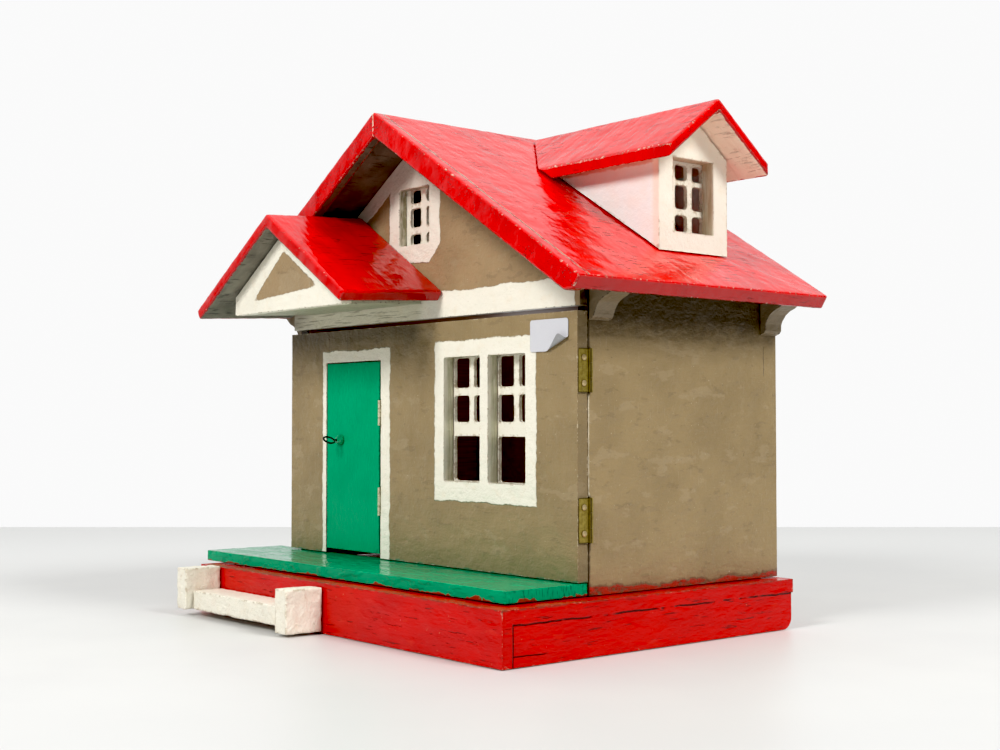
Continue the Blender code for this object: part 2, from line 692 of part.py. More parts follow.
def make_door_pull():
    """A screw eye whose ring holds the line of its own shank, and the painted boss round it."""
    ring_radius, wire = 0.0045, 0.00075
    centre = Vector((PULL_X, -0.0113, PULL_Z))
    mesh = bpy.data.meshes.new("door_pull")
    work = bmesh.new()
    section = [
        work.verts.new((ring_radius + wire * cos(2 * pi * i / 8), 0, wire * sin(2 * pi * i / 8)))
        for i in range(8)
    ]
    edges = [work.edges.new((section[i], section[(i + 1) % 8])) for i in range(8)]
    bmesh.ops.spin(
        work, geom=section + edges, cent=(0, 0, 0), axis=(0, 0, 1), angle=2 * pi, steps=28,
        use_duplicate=False,
    )
    bmesh.ops.remove_doubles(work, verts=work.verts, dist=1e-6)
    bmesh.ops.recalc_face_normals(work, faces=work.faces)
    tilt = radians(57)
    across = Vector((-sin(tilt), 0, cos(tilt)))
    outward = Vector((0, -1, 0))
    normal = across.cross(outward)
    frame = Matrix((across, outward, normal)).transposed().to_4x4()
    work.transform(Matrix.Translation(centre) @ frame)
    work.to_mesh(mesh)
    work.free()
    ring = new_object("door_pull", mesh)
    neck = centre.y + ring_radius
    shank = rod("shank", wire, (PULL_X, neck, PULL_Z), (PULL_X, 0.0070, PULL_Z), 12)
    place(join(ring, shank), "dark_steel", DOOR, smooth=True)

    profile = [(0.0011, 0), (0.0042, 0), (0.0043, 0.0010)]
    profile += [(0.0036, 0.0026), (0.0025, 0.0038), (0.0011, 0.0042)]
    boss = turned("door_pull_boss", profile + [profile[0]], (PULL_X, 0.0002 - GAP, PULL_Z), (0, -1, 0), 16)
    place(boss, "green_gloss", DOOR, smooth=True)


make_base()
make_porch_floor()
make_steps()
make_side_walls()
make_back_wall()
make_attic_floor()
make_gable()
make_roof_boards()
make_corbels()
make_porch_roof()
make_dormer()
make_panel_hinges()
make_front_panel()
make_window_grilles()
make_label()
make_door()
make_door_hinges()
make_door_pull()
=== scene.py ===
"""Looks of the wooden doll's house: hand-brushed paint, worn edges, label and stage."""

import bpy
import bmesh
import json
from math import cos, radians, sin, sqrt
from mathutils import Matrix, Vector, noise
import numpy as np

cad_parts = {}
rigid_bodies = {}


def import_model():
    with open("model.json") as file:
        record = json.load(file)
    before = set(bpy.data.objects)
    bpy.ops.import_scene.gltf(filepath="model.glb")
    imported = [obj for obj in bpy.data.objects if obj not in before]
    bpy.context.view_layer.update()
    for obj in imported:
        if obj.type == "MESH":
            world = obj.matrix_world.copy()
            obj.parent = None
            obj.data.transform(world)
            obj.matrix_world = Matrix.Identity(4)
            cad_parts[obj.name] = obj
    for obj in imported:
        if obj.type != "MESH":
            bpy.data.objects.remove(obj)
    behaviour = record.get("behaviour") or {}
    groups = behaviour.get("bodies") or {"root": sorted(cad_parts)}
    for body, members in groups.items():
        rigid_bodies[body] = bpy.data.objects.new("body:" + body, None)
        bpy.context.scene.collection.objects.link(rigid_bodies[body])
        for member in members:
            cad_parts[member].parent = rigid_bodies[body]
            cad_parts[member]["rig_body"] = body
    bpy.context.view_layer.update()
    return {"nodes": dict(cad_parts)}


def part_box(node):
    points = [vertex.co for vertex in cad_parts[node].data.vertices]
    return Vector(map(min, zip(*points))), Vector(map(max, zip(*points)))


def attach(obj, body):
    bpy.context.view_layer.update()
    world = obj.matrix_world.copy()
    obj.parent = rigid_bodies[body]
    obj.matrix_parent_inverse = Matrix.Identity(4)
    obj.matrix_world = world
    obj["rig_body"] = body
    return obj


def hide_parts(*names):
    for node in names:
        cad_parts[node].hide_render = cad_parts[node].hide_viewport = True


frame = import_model()
NODES = frame["nodes"]

# The house is laid out about its own middle and front face, in millimetres. This is where
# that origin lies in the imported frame, in metres.
ORIGIN = Vector((-0.00505, -0.04815, 0.0))
CAMERA_PLACE = Vector((0.85322, -0.68764, 0.14995))
CAMERA_TILT, CAMERA_HEADING = radians(91.8898), radians(49.9966)
MM = 0.001


# ---------------------------------------------------------------- worked boards
def linked(name, data):
    """A new object in the scene."""
    made = bpy.data.objects.new(name, data)
    bpy.context.scene.collection.objects.link(made)
    return made


def mesh_from(name, work):
    mesh = bpy.data.meshes.new(name)
    work.to_mesh(mesh)
    work.free()
    return mesh


def sharp_edges(work):
    return [e for e in work.edges if len(e.link_faces) == 2 and e.calc_face_angle(0) > radians(30)]


def distance_to(points, segments):
    """Distance in mm from each point to the nearest segment."""
    best = np.full(len(points), 1.0)
    for a, b in segments:
        a, b = np.array(a), np.array(b)
        along = b - a
        t = np.clip((points - a) @ along / max(along @ along, 1e-12), 0, 1)
        gap = np.linalg.norm(points - (a + t[:, None] * along), axis=1)
        best = np.minimum(best, gap)
    return best * 1000


def sliced(work, spacing):
    """Cut every face along planes at even spacings, so that it can be bent."""
    low = [min(v.co[i] for v in work.verts) for i in range(3)]
    high = [max(v.co[i] for v in work.verts) for i in range(3)]
    for axis in range(3):
        count = int((high[axis] - low[axis]) / spacing)
        normal = Vector([float(i == axis) for i in range(3)])
        for k in range(1, count + 1):
            spot = normal * (low[axis] + (high[axis] - low[axis]) * k / (count + 1))
            parts = work.verts[:] + work.edges[:] + work.faces[:]
            bmesh.ops.bisect_plane(work, geom=parts, plane_co=spot, plane_no=normal, dist=1e-7)


def clean_solid(mesh):
    """A bmesh of the mesh with its triangles dissolved into flat faces."""
    work = bmesh.new()
    work.from_mesh(mesh)
    bmesh.ops.remove_doubles(work, verts=work.verts, dist=2e-6)
    bmesh.ops.dissolve_limit(work, angle_limit=radians(0.5), verts=work.verts, edges=work.edges)
    return work


def solid_from(faces):
    """A bmesh of the faces, which share corners."""
    work = bmesh.new()
    for face in faces:
        work.faces.new([work.verts.new(spot) for spot in face])
    bmesh.ops.remove_doubles(work, verts=work.verts, dist=1e-6)
    bmesh.ops.recalc_face_normals(work, faces=work.faces)
    return work


def corners(nodes, axis, last):
    """The boards' corners at their first or last end along the axis."""
    spots = [v.co.copy() for node in nodes for v in NODES[node].data.vertices]
    middle = (min(s[axis] for s in spots) + max(s[axis] for s in spots)) / 2
    return [s for s in spots if (s[axis] > middle) == last]


def middle_of(spots):
    return sum(spots, Vector()) / len(spots)


def ridge_outline(nodes, axis, last):
    """The shape of a pitched roof's end: ridge, eave, foot, under the ridge, foot, eave."""
    across = 1 - axis
    spots = corners(nodes, axis, last)
    top = max(s.z for s in spots)
    ridge = middle_of([s for s in spots if s.z > top - 0.2 * MM])
    under = middle_of([s for s in spots if abs((s - ridge)[across]) < MM and s.z < top - MM])
    halves = []
    for sign in (1, -1):
        half = [s for s in spots if sign * (s - ridge)[across] > 20 * MM]
        eave = max(half, key=lambda s: sign * s[across] + 0.01 * s.z)
        foot = min(half, key=lambda s: s.z)
        halves.append((eave, foot))
    return [ridge, *halves[0], under, halves[1][1], halves[1][0]]


def pitched(nodes, axis):
    """One solid from the two boards of a pitched roof."""
    near, far = ridge_outline(nodes, axis, False), ridge_outline(nodes, axis, True)
    sides = [(near[i - 1], near[i], far[i], far[i - 1]) for i in range(6)]
    return solid_from([near, far] + sides)


def main_roof_solid():
    """The roof boards and their deeper front boards as one solid, level on top."""
    boards = ("roof_right_board", "roof_left_board")
    fronts = ("bargeboard_right", "bargeboard_left")
    back = ridge_outline(boards, 1, True)
    joint = ridge_outline(boards, 1, False)
    outer = corners(fronts, 1, False)
    front = [Vector((spot.x, min(s.y for s in outer), spot.z)) for spot in joint]
    peak = max(s.z for s in outer)
    under = middle_of([s for s in outer if abs(s.x - front[0].x) < MM and s.z < peak - MM])
    deep = [under]
    for sign, foot in ((1, front[2]), (-1, front[4])):
        own = [s for s in outer if sign * (s - front[0]).x > 20 * MM]
        lowest = min(s.z for s in own)
        level = [s for s in own if s.z < lowest + 0.2 * MM and sign * (foot - s).x > MM]
        deep.append(Vector((middle_of(level).x, foot.y, foot.z)))
    step = joint[0].y - front[0].y
    behind = [Vector((spot.x, spot.y + step, spot.z)) for spot in deep]
    faces = [
        back,
        [front[0], front[1], front[2], deep[1], deep[0], deep[2], front[4], front[5]],
        [joint[2], behind[1], behind[0], behind[2], joint[4], joint[3]],
        [front[0], front[1], back[1], back[0]], [front[0], front[5], back[5], back[0]],
        [front[1], front[2], joint[2], back[2], back[1]],
        [front[5], front[4], joint[4], back[4], back[5]],
        [joint[2], joint[3], back[3], back[2]], [joint[4], joint[3], back[3], back[4]],
        [front[2], deep[1], behind[1], joint[2]], [front[4], deep[2], behind[2], joint[4]],
        [deep[1], deep[0], behind[0], behind[1]], [deep[2], deep[0], behind[0], behind[2]],
    ]
    return solid_from(faces)


def united(groups):
    """Boards of different shapes joined into one solid. Each group is a node and its ends,
    (axis, +1 or -1) pairs, which first reach across the joint."""
    parts = []
    for node, ends in groups:
        part = clean_solid(NODES[node].data)
        for axis, end in ends:
            limit = max(end * v.co[axis] for v in part.verts)
            for vert in part.verts:
                if end * vert.co[axis] > limit - 2e-5:
                    vert.co[axis] += end * 0.6 * MM
        parts.append(linked("part", mesh_from("part", part)))
    for other in parts[1:]:
        both = parts[0].modifiers.new("both", "BOOLEAN")
        both.operation, both.solver, both.object = "UNION", "EXACT", other
    bpy.context.view_layer.update()
    evaluated = parts[0].evaluated_get(bpy.context.evaluated_depsgraph_get())
    result = bpy.data.meshes.new_from_object(evaluated)
    for part in parts:
        bpy.data.objects.remove(part)
    work = clean_solid(result)
    bmesh.ops.remove_doubles(work, verts=work.verts, dist=0.4 * MM)
    bmesh.ops.dissolve_limit(work, angle_limit=radians(0.5), verts=work.verts, edges=work.edges)
    return work


def worked(name, nodes, work, bevel=0.9, grid=5.0, wobble=0.30, lumps=0.0, seed=0.0):
    """A piece for the CAD nodes from the solid `work`: rounded edges, gently uneven faces."""
    edges = sharp_edges(work)
    segments = [(e.verts[0].co.copy(), e.verts[1].co.copy()) for e in edges]
    bmesh.ops.bevel(
        work, geom=edges, offset=bevel * MM, segments=3, profile=0.6, affect="EDGES", clamp_overlap=True
    )
    bmesh.ops.triangulate(work, faces=[f for f in work.faces if len(f.verts) > 4])
    sliced(work, grid * MM)
    work.normal_update()
    shift = Vector((seed * 3.1, seed * 1.7, seed * 0.9))
    for vert in work.verts:
        spot = vert.co * 1000
        slow = noise.noise(spot / 34 + shift)
        quick = noise.noise(spot / 9 + shift)
        fine = noise.noise(spot / 4.2 - shift)
        inward = wobble * (0.5 + 0.35 * slow + 0.35 * quick) + lumps * (0.5 + 0.6 * fine)
        vert.co -= vert.normal * max(inward, 0.0) * MM
    mesh = mesh_from(name, work)
    points = np.zeros(len(mesh.vertices) * 3)
    mesh.vertices.foreach_get("co", points)
    layer = mesh.attributes.new("edge", "FLOAT", "POINT")
    rounded = np.maximum(distance_to(points.reshape(-1, 3), segments) - 0.41 * bevel, 0)
    layer.data.foreach_set("value", rounded.astype(np.float32))
    mesh.shade_smooth()
    piece = linked(name, mesh)
    even = piece.modifiers.new("even", "WEIGHTED_NORMAL")
    even.keep_sharp = True
    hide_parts(*nodes)
    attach(piece, NODES[list(nodes)[0]]["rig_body"])
    return piece


# ---------------------------------------------------------------- material tools
class Look:
    """A node material with its house coordinates in mm and the distance from the nearest edge."""

    def __init__(self, name, roughness=0.4, metallic=0.0):
        self.material = bpy.data.materials.new(name)
        self.material.use_nodes = True
        self.tree = self.material.node_tree
        self.shader = self.tree.nodes["Principled BSDF"]
        self.shader.inputs["Roughness"].default_value = roughness
        self.shader.inputs["Metallic"].default_value = metallic
        coords = self.node("ShaderNodeTexCoord")
        moved = self.node("ShaderNodeVectorMath", operation="SUBTRACT")
        self.tree.links.new(coords.outputs["Object"], moved.inputs[0])
        moved.inputs[1].default_value = ORIGIN
        scaled = self.node("ShaderNodeVectorMath", operation="SCALE")
        self.tree.links.new(moved.outputs[0], scaled.inputs[0])
        scaled.inputs["Scale"].default_value = 1000
        self.place = scaled.outputs[0]
        split = self.node("ShaderNodeSeparateXYZ")
        self.tree.links.new(self.place, split.inputs[0])
        self.x, self.y, self.z = split.outputs
        facing = self.node("ShaderNodeSeparateXYZ")
        self.tree.links.new(coords.outputs["Normal"], facing.inputs[0])
        self.nx, self.ny, self.nz = facing.outputs
        edge = self.node("ShaderNodeAttribute")
        edge.attribute_name = "edge"
        self.edge = edge.outputs["Fac"]
        self.heights = []

    def node(self, kind, **settings):
        made = self.tree.nodes.new(kind)
        for key, value in settings.items():
            setattr(made, key, value)
        return made

    def set(self, socket, value):
        if isinstance(value, bpy.types.NodeSocket):
            self.tree.links.new(value, socket)
        else:
            socket.default_value = value

    def math(self, operation, a, b=0.0, c=0.0):
        made = self.node("ShaderNodeMath", operation=operation)
        for socket, value in zip(made.inputs, (a, b, c)):
            self.set(socket, value)
        return made.outputs[0]

    def add(self, *values):
        total = values[0]
        for value in values[1:]:
            total = self.math("ADD", total, value)
        return total

    def times(self, *values):
        total = values[0]
        for value in values[1:]:
            total = self.math("MULTIPLY", total, value)
        return total

    def most(self, *values):
        total = values[0]
        for value in values[1:]:
            total = self.math("MAXIMUM", total, value)
        return total

    def minus(self, a, b):
        return self.math("SUBTRACT", a, b)

    def flip(self, a):
        return self.math("SUBTRACT", 1.0, a)

    def absolute(self, a):
        return self.math("ABSOLUTE", a)

    def gap(self, a, b):
        return self.absolute(self.minus(a, b))

    def ease(self, value, start, end, low=0.0, high=1.0):
        """Low before start, high after end, smooth between them. Start may be past end."""
        made = self.node("ShaderNodeMapRange", interpolation_type="SMOOTHSTEP")
        self.set(made.inputs["Value"], value)
        if start > end:
            start, end, low, high = end, start, high, low
        for socket, level in zip(
            ("From Min", "From Max", "To Min", "To Max"), (start, end, low, high)):
            made.inputs[socket].default_value = level
        return made.outputs["Result"]

    def noise(self, size, detail=3.0, offset=0.0, rough=0.55):
        """Noise with features about `size` mm across."""
        return self.streaks(size, detail, (1, 1, 1), offset, rough)

    def sway(self, amount, *noise):
        """Noise about zero that swings by about half the amount each way."""
        return self.times(self.minus(self.noise(*noise), 0.5), amount)

    def streaks(self, size, detail, stretch, offset=0.0, rough=0.55):
        """Noise stretched along each axis by its own factor."""
        warped = self.node("ShaderNodeVectorMath", operation="MULTIPLY_ADD")
        self.tree.links.new(self.place, warped.inputs[0])
        warped.inputs[1].default_value = [1.0 / s for s in stretch]
        warped.inputs[2].default_value = (offset, offset * 1.3, offset * 0.7)
        made = self.node("ShaderNodeTexNoise")
        self.tree.links.new(warped.outputs[0], made.inputs["Vector"])
        made.inputs["Scale"].default_value = 1.0 / size
        made.inputs["Detail"].default_value = detail
        made.inputs["Roughness"].default_value = rough
        return made.outputs["Fac"]

    def mix(self, amount, a, b):
        made = self.node("ShaderNodeMix", data_type="RGBA")
        self.set(made.inputs[0], amount)
        for socket, value in ((made.inputs[6], a), (made.inputs[7], b)):
            self.set(socket, value if isinstance(value, bpy.types.NodeSocket) else (*value, 1.0))
        return made.outputs[2]

    def over(self, below, above, *masks):
        """The colour `above` laid over `below` where the product of the masks is 1."""
        return self.mix(self.times(*masks), below, above)

    def lay(self, above, *masks):
        """Lay a colour over the look's own where the product of the masks is 1."""
        self.colour = self.over(self.colour, above, *masks)

    def mottle(self, below, above, start, end, amount, *noise):
        """The colour `above` laid over `below` by `amount` where the noise is past start to end."""
        return self.mix(self.ease(self.noise(*noise), start, end, 0.0, amount), below, above)

    def blend(self, amount, a, b):
        """The number a where amount is 0 and b where it is 1."""
        made = self.node("ShaderNodeMix", data_type="FLOAT")
        self.set(made.inputs[0], amount)
        self.set(made.inputs[2], a)
        self.set(made.inputs[3], b)
        return made.outputs[0]

    def sideways(self):
        """1 on faces that look left or right."""
        return self.ease(self.absolute(self.nx), 0.5, 0.7)

    def rectangle(self, a, b, a_low, a_high, b_low, b_high):
        """Signed distance to a rectangle, negative inside."""
        gap_a = self.minus(self.gap(a, (a_low + a_high) / 2), (a_high - a_low) / 2)
        gap_b = self.minus(self.gap(b, (b_low + b_high) / 2), (b_high - b_low) / 2)
        return self.most(gap_a, gap_b)

    def inside(self, distance, soft=0.35):
        return self.ease(distance, soft, -soft)

    def raise_by(self, *factors):
        """Add the factors' product to the surface's height, in mm."""
        self.heights.append(self.times(*factors))

    def finish(self, roughness, colour=None):
        """Connect the colour, the look's own unless another is given, and all the relief."""
        self.set(self.shader.inputs["Base Color"], self.colour if colour is None else colour)
        self.set(self.shader.inputs["Roughness"], roughness)
        if self.heights:
            bump = self.node("ShaderNodeBump")
            bump.inputs["Strength"].default_value = 1.0
            bump.inputs["Distance"].default_value = MM
            self.set(bump.inputs["Height"], self.add(*self.heights))
            self.tree.links.new(bump.outputs["Normal"], self.shader.inputs["Normal"])
        return self.material


RED = (0.70, 0.0012, 0.0012)
RED_DEEP = (0.42, 0.0010, 0.0010)
GREEN = (0.0010, 0.355, 0.155)
GREEN_DEEP = (0.001, 0.16, 0.07)
CREAM = (0.90, 0.855, 0.725)
CREAM_DULL = (0.56, 0.50, 0.36)
TAUPE = (0.326, 0.238, 0.121)
TAUPE_WARM = (0.385, 0.270, 0.148)
TAUPE_PALE = (0.43, 0.34, 0.22)
TAUPE_DARK = (0.16, 0.115, 0.065)
# soffit tones: grey-brown paint, darkened further as painted shade under the main and porch eaves
SOFFIT = ((0.085, 0.068, 0.047), (0.15, 0.12, 0.085))
PORCH_SOFFIT = ((0.16, 0.15, 0.12), (0.25, 0.24, 0.19))
DORMER_SOFFIT = ((0.88, 0.79, 0.62), (0.92, 0.80, 0.64))
WOOD_DARK = (0.30, 0.150, 0.075)
DIRT = (0.035, 0.024, 0.014)


def brush(look, amount, along, across=0.9, offset=0.0):
    """Brush marks: long fine ridges along one direction."""
    marks = look.streaks(across, 2.0, along, offset)
    wide = look.streaks(across * 4, 2.0, along, offset + 7.7)
    look.raise_by(look.minus(marks, 0.5), amount)
    look.raise_by(look.minus(wide, 0.5), amount * 4.0)
    return marks


def chipped(look, width=1.5, size=3.0, level=0.60, offset=0.0):
    """Where the paint is worn off along the edges: 1 on a chip, 0 elsewhere."""
    spots = look.noise(size, 5, offset + 21.0, 0.72)
    near = look.ease(look.edge, width, 0.0)
    return look.ease(look.add(look.times(spots, 0.8), look.times(near, 0.22)), level, level + 0.03)


def red_paint(name, along, grain, under=None, offset=0.0, gloss=0.14, worn=0.60, shine=0.5, body=RED):
    """Thick glossy red enamel over boards whose grain cracks run along `grain`. `under` gives
    the tones and grain of faces that look down."""
    look = Look(name, gloss)
    look.shader.inputs["Specular IOR Level"].default_value = shine
    brush(look, 0.05, along, 1.3, offset)
    cloud = look.noise(26, 3, offset + 3)
    colour = look.mix(look.ease(cloud, 0.35, 0.75, 0.0, 0.5), body, RED_DEEP)
    strokes = look.streaks(1.7, 4, grain, offset + 23, 0.65)
    bunched = look.ease(look.noise(45, 2, offset + 24), 0.42, 0.60)
    fine = look.times(look.ease(strokes, 0.60, 0.66), bunched)
    colour = look.over(colour, (0.16, 0.002, 0.002), fine, 0.75)
    look.raise_by(fine, -0.22)
    colour = look.mottle(colour, (0.14, 0.004, 0.003), 0.70, 0.75, 0.7, 2.0, 3, offset + 50, 0.7)
    # painted shade: faces that look down, such as the eave ends, are made a darker red
    down_face_shade = look.times(look.ease(look.nz, -0.25, -0.45), 0.6)
    colour = look.mix(down_face_shade, colour, (0.30, 0.004, 0.003))
    chips = chipped(look, 1.5, 3.0, worn, offset)
    tone = look.mix(
        look.ease(look.noise(2.6, 2, offset + 77), 0.45, 0.55), (0.82, 0.55, 0.42), (0.30, 0.12, 0.07))
    colour = look.over(colour, tone, chips, 0.9)
    look.raise_by(chips, -0.16)
    drips = look.streaks(9, 4, along if max(along) < 13 else (3, 3, 3), offset + 90, 0.6)
    look.raise_by(drips, 1.0)
    pool = look.noise(24, 2, offset + 93)
    look.raise_by(pool, 1.7)
    patchy = look.blend(look.streaks(7, 4, along, offset + 13), gloss - 0.09, gloss + 0.10)
    rough = look.add(patchy, look.times(chips, 0.4))
    if under:
        tones, grain = under
        down = look.ease(look.nz, -0.66, -0.75)
        ragged = look.noise(4, 4, offset + 31, 0.65)
        down = look.times(down, look.ease(look.add(look.edge, look.times(ragged, 4.0)), 2.2, 2.8))
        flat = look.ease(look.absolute(look.nz), 0.93, 0.98)
        level = look.flip(look.times(flat, look.ease(look.z, 240.0, 236.0)))
        colour, rough = soffit_over(
            look, look.times(down, level), colour, rough, offset, tones, grain)
    return look, colour, rough


def soffit_over(look, amount, colour, rough, offset, tones, grain):
    """Grey-brown paint over rough boards, with short cracks across the slope."""
    cloud = look.noise(14, 4, offset + 41)
    under = look.mix(look.ease(cloud, 0.3, 0.7), *tones)
    cracks = look.streaks(2.4, 4, grain, offset + 61, 0.65)
    dark = tuple(c * (0.25 if c < 0.5 else 0.72) for c in tones[0])
    under = look.mix(look.ease(cracks, 0.59, 0.66, 0.0, 0.80), under, dark)
    look.raise_by(look.ease(cracks, 0.59, 0.66), amount, -0.30)
    return look.mix(amount, colour, under), look.blend(amount, rough, 0.62)


def green_paint(name, along, offset=0.0, roughness=0.20, shine=0.5):
    look = Look(name, roughness)
    look.shader.inputs["Specular IOR Level"].default_value = shine
    marks = brush(look, 0.022, along, 0.9, offset)
    cloud = look.noise(30, 3, offset + 4)
    colour = look.mix(look.ease(cloud, 0.4, 0.8, 0.0, 0.45), GREEN, (0.001, 0.27, 0.115))
    colour = look.mix(look.ease(marks, 0.62, 0.85, 0.0, 0.15), colour, GREEN_DEEP)
    colour = look.mottle(colour, (0.02, 0.09, 0.04), 0.74, 0.79, 0.5, 1.6, 2, offset + 55)
    colour = look.over(
        colour, GREEN_DEEP, look.ease(look.edge, 1.4, 0.1),
        look.ease(look.noise(5, 3, offset + 8), 0.45, 0.62), 0.6)
    look.raise_by(look.noise(12, 3, offset + 71), 0.35)
    rough = look.blend(look.streaks(6, 4, along, offset + 15), roughness - 0.08, roughness + 0.14)
    return look, colour, rough


def cream_over(look, offset=0.0, thick=1.0):
    """The cream paint's own colour, with its stains, and its brushy height."""
    cloud = look.noise(9, 4, offset + 2)
    colour = look.mix(look.ease(cloud, 0.50, 0.82, 0.0, 0.45), CREAM, (0.84, 0.73, 0.55))
    colour = look.mottle(colour, CREAM_DULL, 0.64, 0.74, 0.6, 1.5, 3, offset + 33, 0.7)
    height = look.times(
        look.add(
            look.noise(3.2, 4, offset + 12, 0.65), look.times(look.noise(1.5, 3, offset + 18), 0.30),
            look.times(look.noise(8.0, 3, offset + 19), 1.2)),
        0.34 * thick)
    return colour, height


def cream_paint(name, offset=0.0, stains=0.0, thick=1.0):
    look = Look(name, 0.42)
    look.colour, height = cream_over(look, offset, thick)
    look.raise_by(height)
    if stains:
        red = look.times(look.ease(look.noise(11, 4, offset + 44), 0.50, 0.72), stains)
        look.lay((0.70, 0.48, 0.33), red)
    grime_and_shade = look.times(
        look.ease(look.edge, 2.2, 0.1), look.ease(look.noise(5, 5, offset + 5, 0.7), 0.46, 0.60), 0.7)
    look.lay((0.44, 0.34, 0.21), grime_and_shade)
    dents = look.ease(look.noise(4.5, 4, offset + 6, 0.7), 0.64, 0.70, 0.0, 0.4)
    look.lay((0.60, 0.48, 0.32), dents)
    look.raise_by(dents, -0.35)
    rough = look.blend(look.noise(4, 3, offset + 66), 0.30, 0.58)
    return look.finish(rough)


DORMER_WINDOW = (89.5, 132.2, 282.0, 335.2)


def dormer_look():
    """Cream dormer walls: a cool tint painted on the cheeks to offset the red roof's pink reflection,
    salmon under the eaves.
    """
    look = Look("dormer_paint", 0.42)
    look.colour, height = cream_over(look, 7.0)
    look.raise_by(height)
    # a cool tint painted over the cheeks against the pink reflection of the red roof
    cheek = look.ease(look.x, 172.0, 168.0)
    pink_reflection_offset = look.ease(look.noise(14, 4, 17.0), 0.30, 0.62, 0.72, 1.0)
    look.lay((0.83, 0.95, 0.92), cheek, pink_reflection_offset, 0.85)
    ragged = look.sway(4.0, 5, 3, 27.0)
    eave = look.times(look.ease(look.add(look.z, ragged), 329.0, 330.6), cheek)
    look.lay((0.74, 0.42, 0.30), eave, 0.85)
    reveal = look.times(
        look.ease(look.x, 175.0, 173.0), look.ease(look.x, 162.0, 163.0),
        look.inside(look.rectangle(look.y, look.z, *DORMER_WINDOW), 0.3))
    streak = look.streaks(1.6, 4, (1, 1, 10), 37.0)
    look.lay((0.50, 0.38, 0.22), reveal, look.ease(streak, 0.2, 0.7, 0.35, 0.9))
    grime_and_shade = look.times(
        look.ease(look.edge, 1.5, 0.1), look.ease(look.noise(4, 4, 5.0), 0.50, 0.68), 0.7)
    look.lay((0.50, 0.38, 0.25), grime_and_shade)
    return look.finish(look.blend(look.noise(4, 3, 66.0), 0.30, 0.58))


def taupe_over(look, offset=0.0, body=TAUPE):
    """Satin taupe brushed on thickly: touched-up patches, nicks, scratches and runs."""
    patch = look.noise(38, 3, offset + 1)
    colour = look.mix(look.ease(patch, 0.35, 0.70), body, tuple(c * 0.87 for c in body))
    touched = look.streaks(15, 4, (2.2, 2.2, 1), offset + 9, 0.62)
    colour = look.mix(look.ease(touched, 0.58, 0.62, 0.0, 0.30), colour, (0.42, 0.325, 0.20))
    strokes = look.streaks(1.1, 3, (14, 14, 1), offset + 17)
    colour = look.mix(look.ease(strokes, 0.52, 0.80, 0.0, 0.16), colour, TAUPE_PALE)
    nick = look.noise(2.3, 3, offset + 29, 0.7)
    colour = look.mix(look.ease(nick, 0.695, 0.72, 0.0, 0.8), colour, (0.60, 0.51, 0.37))
    colour = look.mottle(colour, TAUPE_DARK, 0.66, 0.72, 0.65, 3.1, 4, offset + 39, 0.7)
    scratch = look.streaks(1.0, 3, (1, 1, 22), offset + 49, 0.6)
    rare = look.ease(look.noise(30, 2, offset + 50), 0.50, 0.60)
    line = look.times(look.ease(scratch, 0.65, 0.69), rare)
    colour = look.over(colour, TAUPE_PALE, line, 0.6)
    runs = look.streaks(6, 5, (2.6, 2.6, 1), offset + 59, 0.62)
    colour = look.mix(look.ease(runs, 0.60, 0.64, 0.0, 0.28), colour, TAUPE_DARK)
    look.raise_by(look.noise(16, 4, offset + 81, 0.6), 2.2)
    look.raise_by(runs, 0.9)
    look.raise_by(strokes, 0.035)
    look.raise_by(look.noise(3.0, 3, offset + 83), 0.10)
    look.raise_by(look.ease(nick, 0.715, 0.74), -0.12)
    look.raise_by(line, -0.08)
    rough = look.blend(look.noise(9, 4, offset + 85), 0.22, 0.50)
    look.shader.inputs["Specular IOR Level"].default_value = 0.35
    return colour, rough


def wood_over(look, offset=0.0, along=(22, 22, 1)):
    """Dark reddish-brown stained boards inside the house."""
    grain = look.streaks(1.6, 5, along, offset + 3, 0.6)
    colour = look.mix(look.ease(grain, 0.35, 0.7), WOOD_DARK, (0.40, 0.23, 0.11))
    look.raise_by(grain, 0.05)
    return colour


# ---------------------------------------------------------------- walls
# Places on the front faces: left, right, bottom and top.
WINDOW = (28.0, 127.0, 103.0, 201.0)
WINDOW_BORDER = (21.5, 134.0, 93.5, 209.0)
DOORWAY_JAMBS = (-123.5, -45.5, 40.0, 198.5)
DOORWAY_BORDER = (-127.8, -34.6, 20.0, 207.0)
GABLE_WINDOW = (-27.0, 12.8, 282.5, 327.5)
GABLE_WINDOW_BORDER = (-38.0, 24.5, 269.0, 346.0)
BAND_BOTTOM = 246.0
WALL_BOTTOM = 36.5
PANEL_BOTTOM = 46.0


def low_smears(look, colour, bottom, offset):
    """Red paint dragged up from the boards below, edged with a dark brown line."""
    up = look.minus(look.z, bottom)
    edge = look.noise(7, 4, offset + 51, 0.65)
    fray = look.streaks(2.0, 5, (3.5, 3.5, 1), offset + 53, 0.72)
    sweep = look.noise(42, 2, offset + 54)
    reach = look.minus(
        look.add(look.times(edge, 6.0), look.times(fray, 5.0), look.times(sweep, 9.0)), up)
    colour = look.mix(look.ease(reach, 3.6, 5.4, 0.0, 0.7), colour, (0.12, 0.062, 0.034))
    red = look.times(look.ease(reach, 5.2, 6.4), look.ease(fray, 0.36, 0.52))
    colour = look.over(colour, (0.45, 0.012, 0.008), red, 0.9)
    look.raise_by(red, 0.3)
    # darker towards the bottom of the wall
    low_darkening = look.ease(up, 16, 0.0, 0.0, 0.35)
    return look.over(colour, TAUPE_DARK, low_darkening, look.noise(5, 4, offset + 52))


